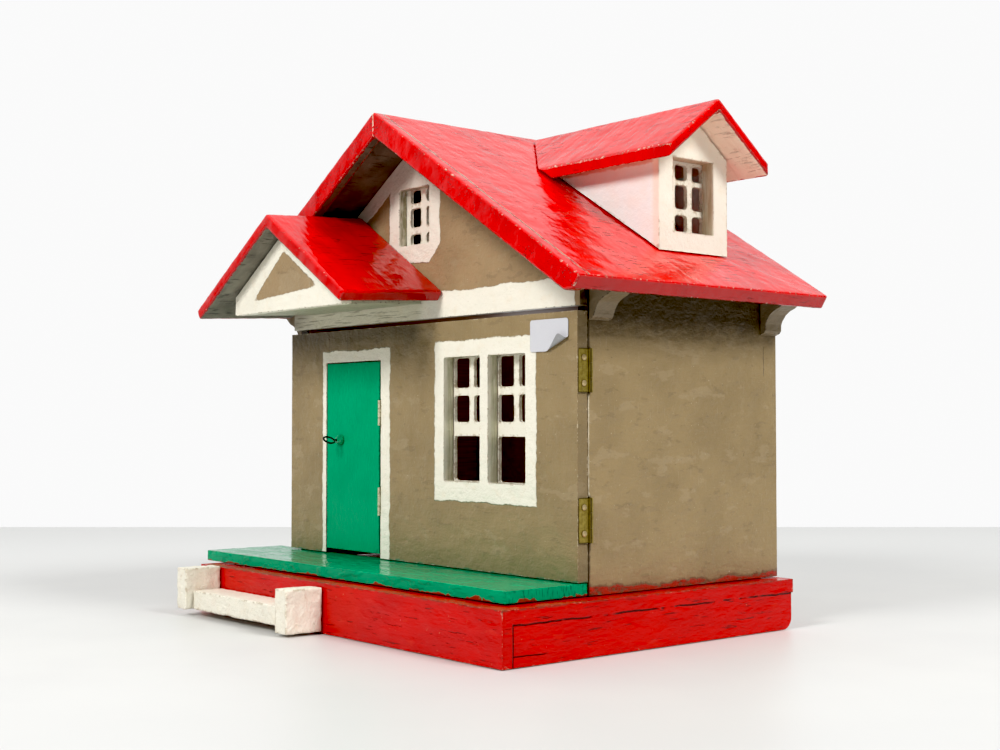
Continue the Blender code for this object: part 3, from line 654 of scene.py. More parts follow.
def side_wall_look():
    look = Look("side_wall_paint", 0.46)
    look.colour, rough = taupe_over(look, 120.0)
    look.colour = low_smears(look, look.colour, WALL_BOTTOM, 0.0)
    # the strip next to the hinged front: cream showing between the hinges, dirt elsewhere
    near = look.ease(look.y, 15.5, 11.0)
    ragged = look.noise(3.2, 4, 7.0, 0.65)
    cream_zone = look.times(look.ease(look.z, 100, 104), look.ease(look.z, 170, 166))
    chip = look.times(
        look.ease(look.add(look.edge, look.times(ragged, 1.6)), 1.6, 0.9), cream_zone, near)
    look.lay((0.66, 0.58, 0.42), chip)
    soot = look.times(
        look.ease(look.add(look.edge, look.times(ragged, 2.0)), 2.8, 1.2), near, look.flip(cream_zone))
    look.lay(DIRT, soot, 0.85)
    # painted shade under the eaves: the top of the side wall dark brown, fading out downwards with
    # ragged streaks
    shade_reach = look.add(
        look.z, look.times(look.minus(look.streaks(11, 4, (1, 1, 2.2), 91.0, 0.6), 0.5), 16.0))
    look.lay((0.045, 0.031, 0.018), look.ease(shade_reach, 203.0, 224.0, 0.0, 0.85))
    wander = look.sway(2.0, 9, 3, 4.0)
    crack = look.times(
        look.ease(look.gap(look.add(look.y, wander), 187.0), 0.5, 0.15), look.ease(look.z, 182, 186),
        look.ease(look.z, 208, 202))
    look.lay((0.07, 0.045, 0.025), crack, 0.8)
    inner = look.ease(look.times(look.x, look.nx), -60.0, -110.0)
    look.lay(wood_over(look, 5.0, (22, 22, 1)), inner)
    return look.finish(rough)


def back_wall_look():
    look = Look("back_wall_paint", 0.46)
    look.colour, rough = taupe_over(look, 240.0)
    look.colour = low_smears(look, look.colour, WALL_BOTTOM, 30.0)
    inner = look.ease(look.y, 200.0, 199.4)
    look.lay(wood_over(look, 15.0, (22, 1, 22)), inner)
    return look.finish(rough)


def panel_look():
    """The hinged front: taupe with cream borders round the window and the doorway."""
    look = Look("front_panel_paint", 0.46)
    look.colour, rough = taupe_over(look, 0.0)
    up = look.minus(look.z, PANEL_BOTTOM)
    green_edge = look.noise(7, 4, 77.0, 0.65)
    green = look.ease(look.minus(look.times(green_edge, 6.5), up), 2.6, 3.4)
    look.lay((0.14, 0.155, 0.075), look.ease(up, 24, 0.0, 0.0, 0.40))
    look.lay((0.02, 0.20, 0.10), green, 0.75)
    # painted shadow of the porch roof: the panel's upper left dark, fading out downwards with ragged
    # streaks
    shade_reach = look.add(
        look.z, look.times(look.minus(look.streaks(12, 4, (1, 1, 2), 92.0, 0.6), 0.5), 14.0))
    porch_shadow = look.times(look.ease(shade_reach, 196.0, 222.0), look.ease(look.x, 12.0, -6.0), 0.72)
    look.lay((0.060, 0.050, 0.034), porch_shadow)
    # painted shade: the doorway's side faces, in the gap round the door, are made near black
    jamb = look.times(
        look.sideways(), look.inside(look.rectangle(look.x, look.z, *DOORWAY_JAMBS), 0.5),
        look.ease(look.y, 0.6, 1.2))
    # painted shade on the panel's top face, in the gap under the gable band
    shaded_top_face = look.times(look.ease(look.nz, 0.4, 0.7), look.ease(look.z, 221.0, 222.5))
    look.lay((0.05, 0.035, 0.02), shaded_top_face)
    hinge_side = look.times(look.ease(look.nx, 0.5, 0.7), look.ease(look.x, 172.0, 174.0))
    look.lay((0.12, 0.09, 0.05), hinge_side, 0.35)
    # old cracks in the paint above the doorway
    wander = look.sway(3.0, 12, 3, 3.0)
    for place in (-118.0, -92.0):
        line = look.gap(look.add(look.x, wander), place)
        crack = look.times(look.ease(line, 0.45, 0.12), look.ease(look.z, 194, 200))
        look.lay((0.10, 0.055, 0.025), crack, 0.75)
        look.raise_by(crack, -0.12)
    ragged = look.sway(3.2, 5.0, 4, 11.0, 0.6)
    sway = look.sway(4.0, 26, 2, 12.0)
    loose = look.add(ragged, sway)
    window = look.add(look.rectangle(look.x, look.z, *WINDOW_BORDER), loose)
    doorway = look.add(look.rectangle(look.x, look.z, *DOORWAY_BORDER), loose)
    cream, height = cream_over(look, 10.0)
    front = look.ease(look.y, 3.0, 1.2)
    inside_window = look.inside(look.rectangle(look.x, look.z, *WINDOW), 0.5)
    reveal = look.times(inside_window, look.ease(look.y, 8.9, 8.6))
    border = look.times(look.inside(look.math("MINIMUM", window, doorway), 0.4), front)
    border = look.most(border, reveal)
    look.lay(cream, border)
    dull = look.times(look.ease(look.y, 1.4, 5.0), inside_window)
    streak = look.streaks(1.4, 4, (1, 1, 16), 31.0)
    look.lay((0.46, 0.45, 0.26), dull, look.ease(streak, 0.25, 0.7, 0.35, 1.0), 0.8)
    edge_dirt = look.times(
        look.ease(look.absolute(look.math("MINIMUM", window, doorway)), 0.9, 0.1), front,
        look.ease(look.noise(3, 3, 15.0), 0.40, 0.6))
    look.lay((0.42, 0.36, 0.22), edge_dirt, 0.45)
    look.raise_by(border, height)
    look.raise_by(border, 0.28)
    # painted shade in the door gap: the jamb faces near black
    look.lay((0.012, 0.009, 0.006), jamb)
    # worn outer edges
    chips = chipped(look, 1.5, 3.2, 0.645, 5.0)
    look.lay((0.55, 0.46, 0.32), chips, 0.8)
    rear = look.times(look.ease(look.ny, 0.3, 0.6), look.ease(look.y, 8.4, 8.8))
    look.lay(wood_over(look, 25.0, (22, 22, 1)), rear)
    rough = look.blend(border, rough, 0.42)
    return look.finish(rough)


def gable_look():
    look = Look("gable_wall_paint", 0.46)
    look.colour, rough = taupe_over(look, 400.0, TAUPE_WARM)
    ragged = look.sway(3.0, 5.0, 4, 14.0, 0.6)
    sway = look.sway(6.0, 30, 2, 16.0)
    loose = look.add(ragged, sway)
    window = look.rectangle(look.x, look.z, *GABLE_WINDOW_BORDER)
    # the border's lower corners are cut off
    off = look.times(
        look.minus(look.add(look.gap(look.x, -6.8), look.minus(282.0, look.z)), 31.0), 0.7)
    window = look.add(look.most(window, off), loose)
    band = look.add(look.minus(look.z, BAND_BOTTOM), loose)
    # a border follows the left soffit
    rake = look.add(
        look.math("MULTIPLY_ADD", look.x, 0.6193 * 0.85, look.times(look.minus(348.5, look.z), 0.85)),
        loose)
    rake = look.most(rake, look.minus(look.x, 4.0))
    edge = look.math("MINIMUM", look.math("MINIMUM", window, band), rake)
    border = look.times(look.inside(edge, 0.4), look.ease(look.add(look.x, ragged), 170.5, 169.5))
    cream, height = cream_over(look, 20.0)
    dirty = look.streaks(1.5, 4, (20, 1, 1), 24.0, 0.65)
    # painted shade: the cream band dulled to olive where the porch roof shades it, with dark horizontal
    # brush streaks over it
    below = look.times(look.ease(look.x, 8.0, -4.0), look.ease(look.z, 250.0, 246.0))
    cream = look.over(cream, (0.42, 0.40, 0.26), below, 0.45)
    cream = look.over(cream, (0.20, 0.18, 0.10), below, look.ease(dirty, 0.54, 0.64), 0.7)
    look.lay(cream, border)
    reveal = look.times(
        look.inside(look.rectangle(look.x, look.z, *GABLE_WINDOW), 0.4), look.ease(look.y, 2.6, 4.2))
    streak = look.streaks(2.0, 4, (1, 1, 4), 35.0)
    look.lay((0.34, 0.32, 0.19), reveal, look.ease(streak, 0.3, 0.65, 0.2, 1.0))
    look.raise_by(border, height)
    look.raise_by(border, 0.28)
    chips = chipped(look, 1.2, 2.6, 0.66, 9.0)
    look.lay(DIRT, chips, 0.7)
    # painted eave shade with grime: the gable's end faces under the eaves near black
    end = look.sideways()
    grime_and_shade = look.mix(
        look.ease(look.noise(4, 4, 71.0), 0.4, 0.6), (0.13, 0.095, 0.055), (0.045, 0.030, 0.018))
    look.lay(grime_and_shade, end, look.ease(look.absolute(look.x), 172.0, 174.0))
    shade = look.times(look.ease(look.x, 0.0, -12.0), look.ease(look.add(rake, -14.0), 6.0, -8.0))
    look.lay((0.10, 0.075, 0.05), shade, 0.35)
    return look.finish(look.blend(border, rough, 0.42))


def pediment_look():
    look = Look("pediment_paint", 0.46)
    field, rough = taupe_over(look, 520.0, TAUPE_WARM)
    cream, height = cream_over(look, 40.0)
    ragged = look.sway(3.0, 5.0, 4, 19.0, 0.6)
    # a rounded triangle of taupe left bare of cream
    left = look.minus(
        look.times(look.minus(look.z, 243.0), 0.78), look.times(look.minus(look.x, -121.0), 0.62))
    right = look.add(
        look.times(look.minus(look.z, 249.0), 0.78), look.times(look.minus(look.x, -27.5), 0.50))
    foot = look.minus(look.add(244.0, look.times(look.add(look.x, 120.0), 0.06)), look.z)
    triangle = look.add(
        look.math("SMOOTH_MAX", look.math("SMOOTH_MAX", left, right, 4.0), foot, 7.0), ragged)
    bare = look.times(look.inside(triangle, 0.4), look.ease(look.ny, -0.5, -0.7))
    look.colour = look.mix(bare, cream, field)
    look.raise_by(look.flip(bare), height)
    look.raise_by(look.flip(bare), 0.25)
    chips = chipped(look, 1.6, 2.4, 0.62, 19.0)
    look.lay((0.34, 0.28, 0.17), chips, 0.7)
    return look.finish(look.blend(bare, 0.42, rough))


def plain_taupe(name, offset, tint):
    look = Look(name, 0.48)
    look.colour, rough = taupe_over(look, offset)
    # the tint darkens the whole piece; on the corbels it is painted eave shade
    look.lay(tint, 0.55)
    chips = chipped(look, 1.4, 2.2, 0.64, offset)
    look.lay(DIRT, chips, 0.75)
    return look.finish(rough)


def ceiling_look():
    look = Look("porch_ceiling_paint", 0.55)
    look.colour, height = cream_over(look, 61.0)
    look.lay((0.30, 0.30, 0.18), 0.68)
    cracks = look.streaks(1.5, 4, (18, 1, 1), 61.0, 0.65)
    look.lay((0.12, 0.10, 0.055), look.ease(cracks, 0.56, 0.66, 0.0, 0.8))
    look.raise_by(height)
    look.raise_by(look.ease(cracks, 0.56, 0.66), -0.3)
    return look.finish(0.55)


# ---------------------------------------------------------------- base, porch and steps
def base_look():
    look = Look("base_red_paint", 0.24)
    look.shader.inputs["Specular IOR Level"].default_value = 0.28
    brush(look, 0.05, (18, 18, 1), 1.1, 2.0)
    cloud = look.streaks(24, 3, (2, 2, 1), 6.0)
    look.colour = look.mix(
        look.ease(cloud, 0.35, 0.7, 0.0, 0.7), (0.60, 0.003, 0.001), (0.47, 0.003, 0.002))
    # painted highlights: lighter orange-red streaks along the boards stand in for gloss glints
    orange = look.streaks(9, 4, (3, 3, 1), 26.0, 0.65)
    look.lay((0.66, 0.03, 0.012), look.ease(orange, 0.60, 0.72, 0.0, 0.4))
    scuffs = look.streaks(2.0, 4, (11, 11, 1), 36.0, 0.68)
    look.lay((0.13, 0.006, 0.004), look.ease(scuffs, 0.61, 0.68, 0.0, 0.8))
    look.colour = look.mottle(look.colour, (0.50, 0.22, 0.10), 0.71, 0.74, 0.8, 2.6, 3, 37.0, 0.7)
    chips = chipped(look, 1.3, 2.4, 0.645, 46.0)
    look.lay((0.62, 0.30, 0.20), chips, 0.8)
    look.raise_by(look.streaks(8, 4, (2.5, 2.5, 1), 56.0, 0.6), 1.1)
    look.raise_by(look.streaks(1.7, 3, (3, 3, 1), 57.0), 0.12)
    look.raise_by(look.ease(scuffs, 0.61, 0.68), -0.22)
    # joints and a split that show through the paint on the ends
    sway = look.sway(2.4, 14, 3, 8.0)
    side = look.sideways()
    patchy = look.ease(look.streaks(19, 3, (1, 1, 3), 9.0), 0.36, 0.46)
    board = look.times(
        look.ease(look.gap(look.add(look.z, sway), 26.1), 0.8, 0.3), patchy,
        look.ease(look.y, -69.6, -68.8))
    rail = look.times(
        look.ease(look.absolute(look.add(look.y, look.times(sway, 0.3), 68.9)), 0.65, 0.25),
        look.ease(look.z, 27.0, 26.0))
    split = look.times(
        look.ease(look.gap(look.add(look.z, sway), 7.0), 0.55, 0.2), look.ease(look.y, -38.0, -46.0),
        look.ease(look.y, -70.0, -69.0))
    line = look.times(side, look.most(board, rail, split))
    look.lay((0.02, 0.004, 0.003), line, 0.92)
    look.raise_by(line, -0.6)
    rim = look.times(
        look.ease(look.edge, 1.4, 0.2), look.ease(look.z, 34.0, 35.0),
        look.ease(look.noise(4, 4, 10.0), 0.45, 0.58))
    look.lay((0.16, 0.045, 0.025), rim, 0.7)
    # taupe wiped on to the ledge beside the walls
    top = look.times(
        look.ease(look.nz, 0.5, 0.8), look.ease(look.z, 35.0, 35.6), look.ease(look.y, 8.0, 14.0))
    wiped = look.ease(look.noise(6, 4, 66.0, 0.6), 0.47, 0.60)
    look.lay((0.30, 0.06, 0.035), top, wiped, 0.45)
    under = look.ease(look.nz, -0.5, -0.8)
    look.lay((0.30, 0.17, 0.09), under)
    rough = look.blend(look.noise(5, 4, 76.0), 0.08, 0.34)
    return look.finish(rough)


def porch_floor_look():
    look, look.colour, rough = green_paint("porch_green_paint", (26, 1.5, 1), 4.0, 0.11, 0.12)
    # red from the base laps up in waves over the lower front edge
    wave = look.add(look.noise(15, 3, 81.0, 0.5), look.times(look.noise(4, 2, 82.0), 0.35))
    lap = look.ease(look.minus(look.times(wave, 11.5), look.minus(look.z, 36.5)), 6.6, 7.2)
    lap = look.times(lap, look.ease(look.nz, 0.4, 0.2))
    look.lay((0.30, 0.012, 0.008), lap, 0.92)
    look.raise_by(lap, 0.12)
    dark = look.streaks(9, 4, (3, 1, 1), 83.0, 0.6)
    look.lay((0.002, 0.11, 0.05), look.ease(dark, 0.64, 0.70, 0.0, 0.6))
    dabs = look.streaks(10, 4, (2.5, 1, 1), 86.0, 0.6)
    look.raise_by(look.ease(dabs, 0.48, 0.62), 0.45)
    under = look.ease(look.nz, -0.4, -0.8)
    look.lay((0.26, 0.15, 0.08), under)
    end_grain = look.times(
        look.ease(look.absolute(look.nx), 0.6, 0.8), look.streaks(1.3, 4, (1, 1, 7), 84.0, 0.65))
    look.raise_by(end_grain, 0.5)
    look.lay((0.004, 0.06, 0.03), look.ease(end_grain, 0.56, 0.64, 0.0, 0.8))
    return look.finish(rough)


def door_look():
    look, look.colour, rough = green_paint("door_green_paint", (1, 1, 8), 40.0, 0.24, 0.12)
    rear = look.times(look.ease(look.ny, 0.3, 0.6), look.ease(look.y, 7.6, 8.2))
    look.lay((0.10, 0.05, 0.025), rear)
    chips = chipped(look, 1.2, 2.0, 0.68, 44.0)
    look.lay((0.02, 0.05, 0.02), chips, 0.8)
    return look.finish(rough)


# ---------------------------------------------------------------- metal and paper
# Heights of the two hinges' lower and upper ends.
HINGE_ENDS = ((169.5, 198.5), (71.2, 100.8))


def brass_look(name, paint_flecks, light, dark):
    look = Look(name, 0.40, 0.6)
    tarnish = look.noise(3.0, 5, 1.0, 0.65)
    look.colour = look.mix(look.ease(tarnish, 0.35, 0.68), light, dark)
    rub = look.streaks(0.7, 3, (1, 1, 8), 2.0)
    look.lay((0.62, 0.48, 0.17), look.ease(rub, 0.55, 0.75, 0.0, 0.5))
    fleck = look.ease(look.noise(1.7, 4, 3.0, 0.7), 0.63, 0.67, 0.0, paint_flecks)
    look.lay((0.62, 0.55, 0.40), fleck)
    look.raise_by(tarnish, 0.03)
    look.raise_by(fleck, 0.05)
    for low, high in HINGE_ENDS:
        rim = look.rectangle(look.y, look.z, -3.0, 9.4, low, high)
        edge_dark = look.times(
            look.ease(rim, -0.9, -0.3), look.ease(rim, 0.5, 0.3), look.ease(look.x, 173.0, 174.5))
        look.lay((0.05, 0.035, 0.018), edge_dark, 0.8)
        inset = (high - low) * 0.21
        for height in (low + inset, high - inset):
            across, up = look.minus(look.y, 4.6), look.minus(look.z, height)
            reach = look.math("SQRT", look.add(look.times(across, across), look.times(up, up)))
            ring = look.times(
                look.ease(reach, 3.0, 2.3), look.ease(look.x, 175.9, 175.7),
                look.ease(look.x, 173.0, 174.5))
            look.lay((0.06, 0.04, 0.02), ring, 0.75)
    look.set(look.shader.inputs["Metallic"], look.blend(fleck, 0.7, 0.0))
    rough = look.blend(tarnish, 0.24, 0.62)
    return look.finish(rough)


def steel_look():
    look = Look("dark_steel_wire", 0.35, 1.0)
    rust = look.noise(1.1, 4, 4.0, 0.65)
    look.colour = look.mix(look.ease(rust, 0.5, 0.7), (0.05, 0.055, 0.055), (0.085, 0.045, 0.025))
    look.raise_by(rust, 0.05)
    return look.finish(look.blend(rust, 0.22, 0.55))


def paper_look():
    look = Look("label_paper", 0.55)
    fibre = look.noise(0.5, 4, 5.0)
    look.colour = look.mix(look.ease(fibre, 0.4, 0.7), (0.66, 0.66, 0.69), (0.62, 0.62, 0.65))
    soft = look.noise(6, 3, 6.0)
    # painted shade on the peeled corner, where it lifts off the panel
    look.lay((0.36, 0.36, 0.37), look.ease(look.y, -1.0, -2.2))
    look.lay((0.70, 0.70, 0.70), look.ease(soft, 0.5, 0.8, 0.0, 0.25))
    look.raise_by(fibre, 0.015)
    look.raise_by(soft, 0.10)
    return look.finish(0.5)


def wood_look(name, along, offset):
    look = Look(name, 0.6)
    look.colour = wood_over(look, offset, along)
    chips = chipped(look, 1.5, 2.0, 0.62, offset)
    look.lay((0.24, 0.12, 0.06), chips, 0.5)
    return look.finish(0.6)


# ---------------------------------------------------------------- build the pieces
def dress(piece, material):
    piece.data.materials.clear()
    piece.data.materials.append(material)
    return piece


X, Y, Z = 0, 1, 2
BASE = {
    "base_board": (),
    "base_front_rail": ((Z, 1),),
    "base_right_rail": ((Z, 1), (Y, -1)),
    "base_left_rail": ((Z, 1), (Y, -1)),
    "base_back_rail": ((Z, 1), (X, 1), (X, -1)),
}
dress(
    worked("plinth", BASE, united(BASE.items()), 1.3, 5.0, 0.45, 0.30, 1.0), base_look())


def single(node, *settings):
    return worked(node + "_piece", (node,), clean_solid(NODES[node].data), *settings)


dress(single("porch_floor", 1.0, 6.0, 0.35, 0.2, 8.0), porch_floor_look())

STEPS = cream_paint("step_cream_paint", 3.0, 0.16, 3.4)
for seed, node in enumerate(("step_left_cheek", "step_right_cheek", "step_tread")):
    dress(single(node, 2.0, 2.4, 0.6, 0.75, seed + 20.0), STEPS)

SIDE = side_wall_look()
for seed, node in enumerate(("right_side_wall", "left_side_wall")):
    dress(single(node, 0.6, 7.0, 0.3, 0.0, seed + 30.0), SIDE)
dress(single("back_wall", 0.5, 8.0, 0.3, 0.0, 33.0), back_wall_look())
dress(single("front_panel", 0.9, 5.0, 0.3, 0.0, 34.0), panel_look())
dress(single("gable_wall", 0.7, 5.0, 0.3, 0.0, 35.0), gable_look())
dress(
    single("attic_floor", 0.6, 12.0, 0.2, 0.0, 36.0), wood_look("attic_wood", (22, 1, 1), 70.0))
dress(single("pediment_board", 1.6, 3.5, 0.4, 0.35, 37.0), pediment_look())
dress(single("porch_ceiling", 0.9, 5.0, 0.4, 0.3, 38.0), ceiling_look())

# the corbels' dark tint is painted shade from the eaves above them
CORBEL = plain_taupe("corbel_paint", 610.0, (0.165, 0.135, 0.098))
for seed, end in enumerate(("front_right", "back_right", "front_left", "back_left")):
    dress(single("corbel_" + end, 0.9, 3.0, 0.35, 0.2, seed + 40.0), CORBEL)

look, colour, rough = red_paint(
    "roof_red_paint", (13, 1, 13), (1, 11, 1), (SOFFIT, (1, 9, 1)), 0.0, 0.12, 0.675)
# paint over the joint between the roof and its front boards, chipped along its length
joint = look.absolute(look.add(look.y, look.sway(2.6, 9, 3, 2.0), 31.7))
broken = look.ease(look.noise(5, 5, 12.0, 0.7), 0.44, 0.50)
worn_line = look.times(look.ease(joint, 1.5, 0.9), broken, look.ease(look.nz, 0.3, 0.6))
colour = look.over(colour, (0.62, 0.36, 0.24), worn_line, 0.85)
dark_line = look.times(look.ease(joint, 0.7, 0.25), look.ease(look.nz, 0.0, 0.3))
colour = look.over(colour, (0.09, 0.01, 0.01), dark_line, 0.75)
look.raise_by(dark_line, -0.45)
# a pale split down the apex of the front boards
split = look.ease(look.absolute(look.add(look.x, look.sway(2.0, 3, 3, 22.0))), 0.8, 0.35)
split = look.times(
    split, look.ease(look.y, -39.5, -40.2), look.ease(look.noise(4, 3, 24.0), 0.42, 0.5))
colour = look.over(colour, (0.85, 0.66, 0.50), split, 0.9)
ROOF = ("roof_right_board", "roof_left_board", "bargeboard_right", "bargeboard_left")


def roof(name, nodes, work, settings, paint):
    look, colour, rough = paint
    dress(worked(name, nodes, work, *settings), look.finish(rough, colour))


roof("main_roof", ROOF, main_roof_solid(), (3.4, 5.0, 0.5, 0.3, 50.0), (look, colour, rough))
PORCH = ("porch_roof_right", "porch_roof_left")
roof("porch_roof", PORCH, pitched(PORCH, Y), (2.8, 3.5, 0.5, 0.3, 60.0), red_paint(
    "porch_roof_red_paint", (11, 1.2, 11), (1, 9, 1), (PORCH_SOFFIT, (1, 9, 1)),
    200.0, 0.10, 0.665, 0.5, (0.66, 0.001, 0.001)))
DORMER_ROOF = ("dormer_roof_near", "dormer_roof_far")
roof("dormer_roof", DORMER_ROOF, pitched(DORMER_ROOF, X), (3.0, 3.5, 0.45, 0.35, 65.0), red_paint(
    "dormer_roof_red_paint", (1, 11, 11), (11, 1, 1), (DORMER_SOFFIT, (9, 1, 1)),
    300.0, 0.12, 0.645))

DORMER = {"dormer_front": (), "dormer_cheek_near": ((X, 1),), "dormer_cheek_far": ((X, 1),)}
dress(
    worked("dormer_walls", DORMER, united(DORMER.items()), 1.0, 3.0, 0.4, 0.25, 70.0), dormer_look())

GRILLE = cream_paint("grille_cream_paint", 11.0, 0.0, 0.8)
GRILLES = ("window_grille_left", "window_grille_right", "gable_window_grille", "dormer_window_grille")
for seed, node in enumerate(GRILLES):
    dress(single(node, 0.8, 2.5, 0.3, 0.2, seed + 76.0), GRILLE)

dress(single("door", 1.9, 5.0, 0.3, 0.0, 80.0), door_look())

BRASS = brass_look("aged_brass", 0.35, (0.46, 0.36, 0.085), (0.30, 0.22, 0.05))
SCREW = brass_look("rubbed_screw_brass", 0.0, (0.75, 0.60, 0.34), (0.52, 0.40, 0.20))
STEEL = steel_look()
BOSS_LOOK, boss_colour, boss_rough = green_paint("boss_green_paint", (1, 1, 1), 90.0, 0.15)
BOSS = BOSS_LOOK.finish(boss_rough, boss_colour)


def carry(node, material):
    """Keep a CAD node as it is, with the finished material."""
    piece = NODES[node]
    piece.data.materials.clear()
    piece.data.materials.append(material)


def painted_hinge_look():
    look = Look("painted_hinge", 0.42, 0.2)
    worn = look.noise(2.2, 4, 8.0, 0.7)
    look.colour = look.mix(look.ease(worn, 0.40, 0.52), (0.46, 0.42, 0.24), (0.78, 0.72, 0.52))
    look.lay((0.05, 0.16, 0.07), look.ease(worn, 0.62, 0.66))
    look.raise_by(worn, 0.1)
    return look.finish(look.blend(worn, 0.3, 0.6))


PAINTED_HINGE = painted_hinge_look()
for node in NODES:
    if node.startswith("panel_screw"):
        carry(node, SCREW)
    elif node.startswith(("door_hinge", "jamb_hinge")):
        carry(node, PAINTED_HINGE)
    elif "hinge" in node:
        carry(node, BRASS)
    elif node.startswith("wall_nail"):
        carry(node, STEEL)
carry("door_pull", STEEL)
carry("door_pull_boss", BOSS)


def label_piece():
    """A blank sticker with rounded corners, its lower right corner peeled and folded up."""
    low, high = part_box("paper_label")
    width, height = high.x - low.x, high.z - low.z
    radius, thick = 2.2 * MM, 0.16 * MM
    columns, rows = 72, 42
    fold_at = 0.0250                      # length of the peeled corner along the lower edge
    rise = 0.0105                         # and along the right edge
    normal = Vector((rise, 0, -fold_at)).normalized()
    line = Vector((high.x - fold_at, 0, low.z))
    curl_radius = 1.7 * MM
    work = bmesh.new()
    grid = {}
    for i in range(columns + 1):
        for j in range(rows + 1):
            x, z = low.x + width * i / columns, low.z + height * j / rows
            dx = max(low.x + radius - x, 0, x - (high.x - radius))
            dz = max(low.z + radius - z, 0, z - (high.z - radius))
            reach = sqrt(dx * dx + dz * dz)
            if reach > radius:
                keep = radius / reach
                x_side = 1 if x > low.x + width / 2 else -1
                z_side = 1 if z > low.z + height / 2 else -1
                x = min(max(x, low.x + radius), high.x - radius) + dx * keep * x_side
                z = min(max(z, low.z + radius), high.z - radius) + dz * keep * z_side
            spot = Vector((x, 0, z))
            past = (spot - line).dot(normal)
            out = 0.0
            if past > 0:
                turn = min(past / curl_radius, radians(138))
                moved = curl_radius * sin(turn)
                out = curl_radius * (1 - cos(turn))
                rest = past - turn * curl_radius
                if rest > 0:
                    moved += rest * cos(turn)
                    out += rest * sin(turn)
                spot += normal * (moved - past)
            grid[i, j] = work.verts.new((spot.x, high.y - thick - out * 0.8, spot.z))
    for i in range(columns):
        for j in range(rows):
            corner = [grid[i, j], grid[i + 1, j], grid[i + 1, j + 1], grid[i, j + 1]]
            work.faces.new(corner)
    bmesh.ops.remove_doubles(work, verts=work.verts, dist=1e-6)
    mesh = mesh_from("label_sheet", work)
    mesh.shade_smooth()
    piece = linked("label_sheet", mesh)
    solid = piece.modifiers.new("paper", "SOLIDIFY")
    solid.thickness = thick
    solid.offset = 0
    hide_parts("paper_label")
    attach(piece, "front")
    return dress(piece, paper_look())


label_piece()


# ---------------------------------------------------------------- stage, light and camera
TABLE_EDGE = 2.066                        # how far past the camera the table ends
TABLE_DEPTH, TABLE_WIDTH = 8.0, 10.0
TABLE_TOP = -0.0002


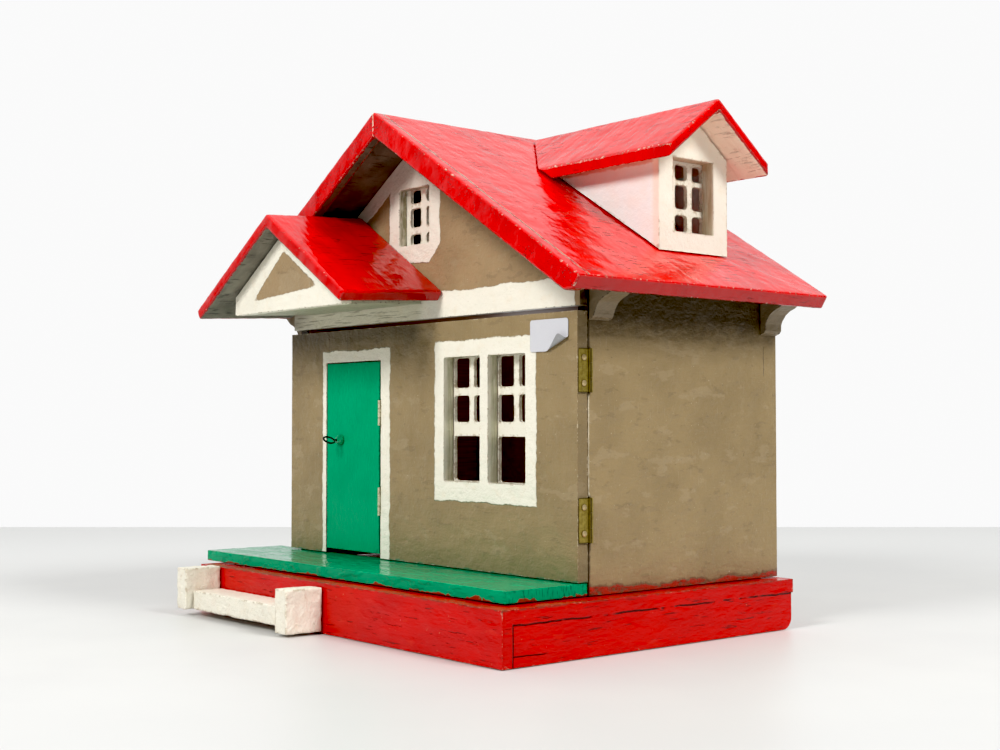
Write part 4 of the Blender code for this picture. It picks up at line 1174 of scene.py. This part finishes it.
def stage():
    facing = radians(50.0)
    ahead = Vector((-sin(facing), cos(facing), 0))
    aside = Vector((cos(facing), sin(facing), 0))
    far = CAMERA_PLACE + ahead * TABLE_EDGE
    near = far - ahead * TABLE_DEPTH
    half = aside * TABLE_WIDTH / 2
    corners = [far - half, far + half, near + half, near - half]
    mesh = bpy.data.meshes.new("table")
    mesh.from_pydata([(*c.xy, TABLE_TOP) for c in corners], [], [(0, 1, 2, 3)])
    table = linked("table", mesh)
    look = Look("table_top", 0.42)
    cloud = look.noise(160, 3)
    colour = look.mix(look.ease(cloud, 0.3, 0.7), (0.67, 0.67, 0.65), (0.64, 0.64, 0.625))
    # painted light and shade: the table darker near the camera and paler far off, evening out the
    # lamps' falloff
    nearer = look.add(look.times(look.x, ahead.x), look.times(look.y, ahead.y))
    colour = look.mix(look.ease(nearer, -150.0, -520.0), colour, (0.585, 0.588, 0.575))
    colour = look.mix(look.ease(nearer, 150.0, 700.0), colour, (0.70, 0.705, 0.69))
    look.finish(0.42, colour)
    mesh.materials.append(look.material)

    world = bpy.data.worlds.new("studio")
    bpy.context.scene.world = world
    world.use_nodes = True
    tree = world.node_tree
    background = tree.nodes["Background"]
    coords = tree.nodes.new("ShaderNodeTexCoord")
    toward = tree.nodes.new("ShaderNodeVectorMath")
    toward.operation = "DOT_PRODUCT"
    tree.links.new(coords.outputs["Generated"], toward.inputs[0])
    toward.inputs[1].default_value = (ahead * 0.8 + Vector((0, 0, 0.6))).normalized()
    ramp = tree.nodes.new("ShaderNodeMapRange")
    ramp.interpolation_type = "SMOOTHSTEP"
    tree.links.new(toward.outputs["Value"], ramp.inputs["Value"])
    for socket, level in zip(("From Min", "From Max", "To Min", "To Max"), (0.05, 0.65, 0.08, 0.90)):
        ramp.inputs[socket].default_value = level
    path = tree.nodes.new("ShaderNodeLightPath")
    seen = tree.nodes.new("ShaderNodeMix")
    tree.links.new(path.outputs["Is Camera Ray"], seen.inputs[0])
    tree.links.new(ramp.outputs["Result"], seen.inputs[2])
    seen.inputs[3].default_value = 0.96
    tree.links.new(seen.outputs[0], background.inputs["Strength"])
    background.inputs["Color"].default_value = (1, 1, 1, 1)


def softbox(name, azimuth, elevation, distance, size, power, glossy=True):
    """An area light that faces the middle of the house. Azimuth 0 is in front, 90 at the right."""
    turn, lift = radians(azimuth), radians(elevation)
    target = Vector((0, 0, 0.17))
    toward = Vector((sin(turn) * cos(lift), -cos(turn) * cos(lift), sin(lift)))
    data = bpy.data.lights.new(name, "AREA")
    data.shape = "SQUARE"
    data.size = size
    data.energy = power
    lamp = linked(name, data)
    lamp.location = target + toward * distance
    lamp.rotation_euler = toward.to_track_quat("Z", "Y").to_euler()
    lamp.visible_glossy = glossy
    lamp.visible_camera = False


def camera():
    data = bpy.data.cameras.new("camera")
    data.sensor_fit = "HORIZONTAL"
    data.sensor_width = 36.0
    data.lens = 51.687
    data.clip_start, data.clip_end = 0.01, 50
    eye = linked("camera", data)
    eye.location = CAMERA_PLACE
    eye.rotation_euler = (CAMERA_TILT, 0, CAMERA_HEADING)
    bpy.context.scene.camera = eye


stage()
softbox("front_light", 8, 34, 3.0, 0.78, 64, glossy=False)
softbox("side_light", 98, 38, 3.0, 0.78, 64, glossy=False)
softbox("top_light", 20, 80, 1.8, 1.6, 3, glossy=False)
softbox("sparkle", 35, 30, 2.0, 0.16, 1.5)
inner_light = bpy.data.lights.new("through_the_door_cracks", "POINT")
inner_light.energy = 0.075
inner_light.shadow_soft_size = 0.03
linked("through_the_door_cracks", inner_light).location = ORIGIN + Vector((0.02, 0.10, 0.19))
camera()
bpy.context.scene.view_settings.view_transform = "Standard"
bpy.context.scene.view_settings.look = "None"
# the studio picture's deep blacks
bpy.context.scene.view_settings.use_curve_mapping = True
bpy.context.scene.view_settings.curve_mapping.black_level = (0.018, 0.018, 0.018)
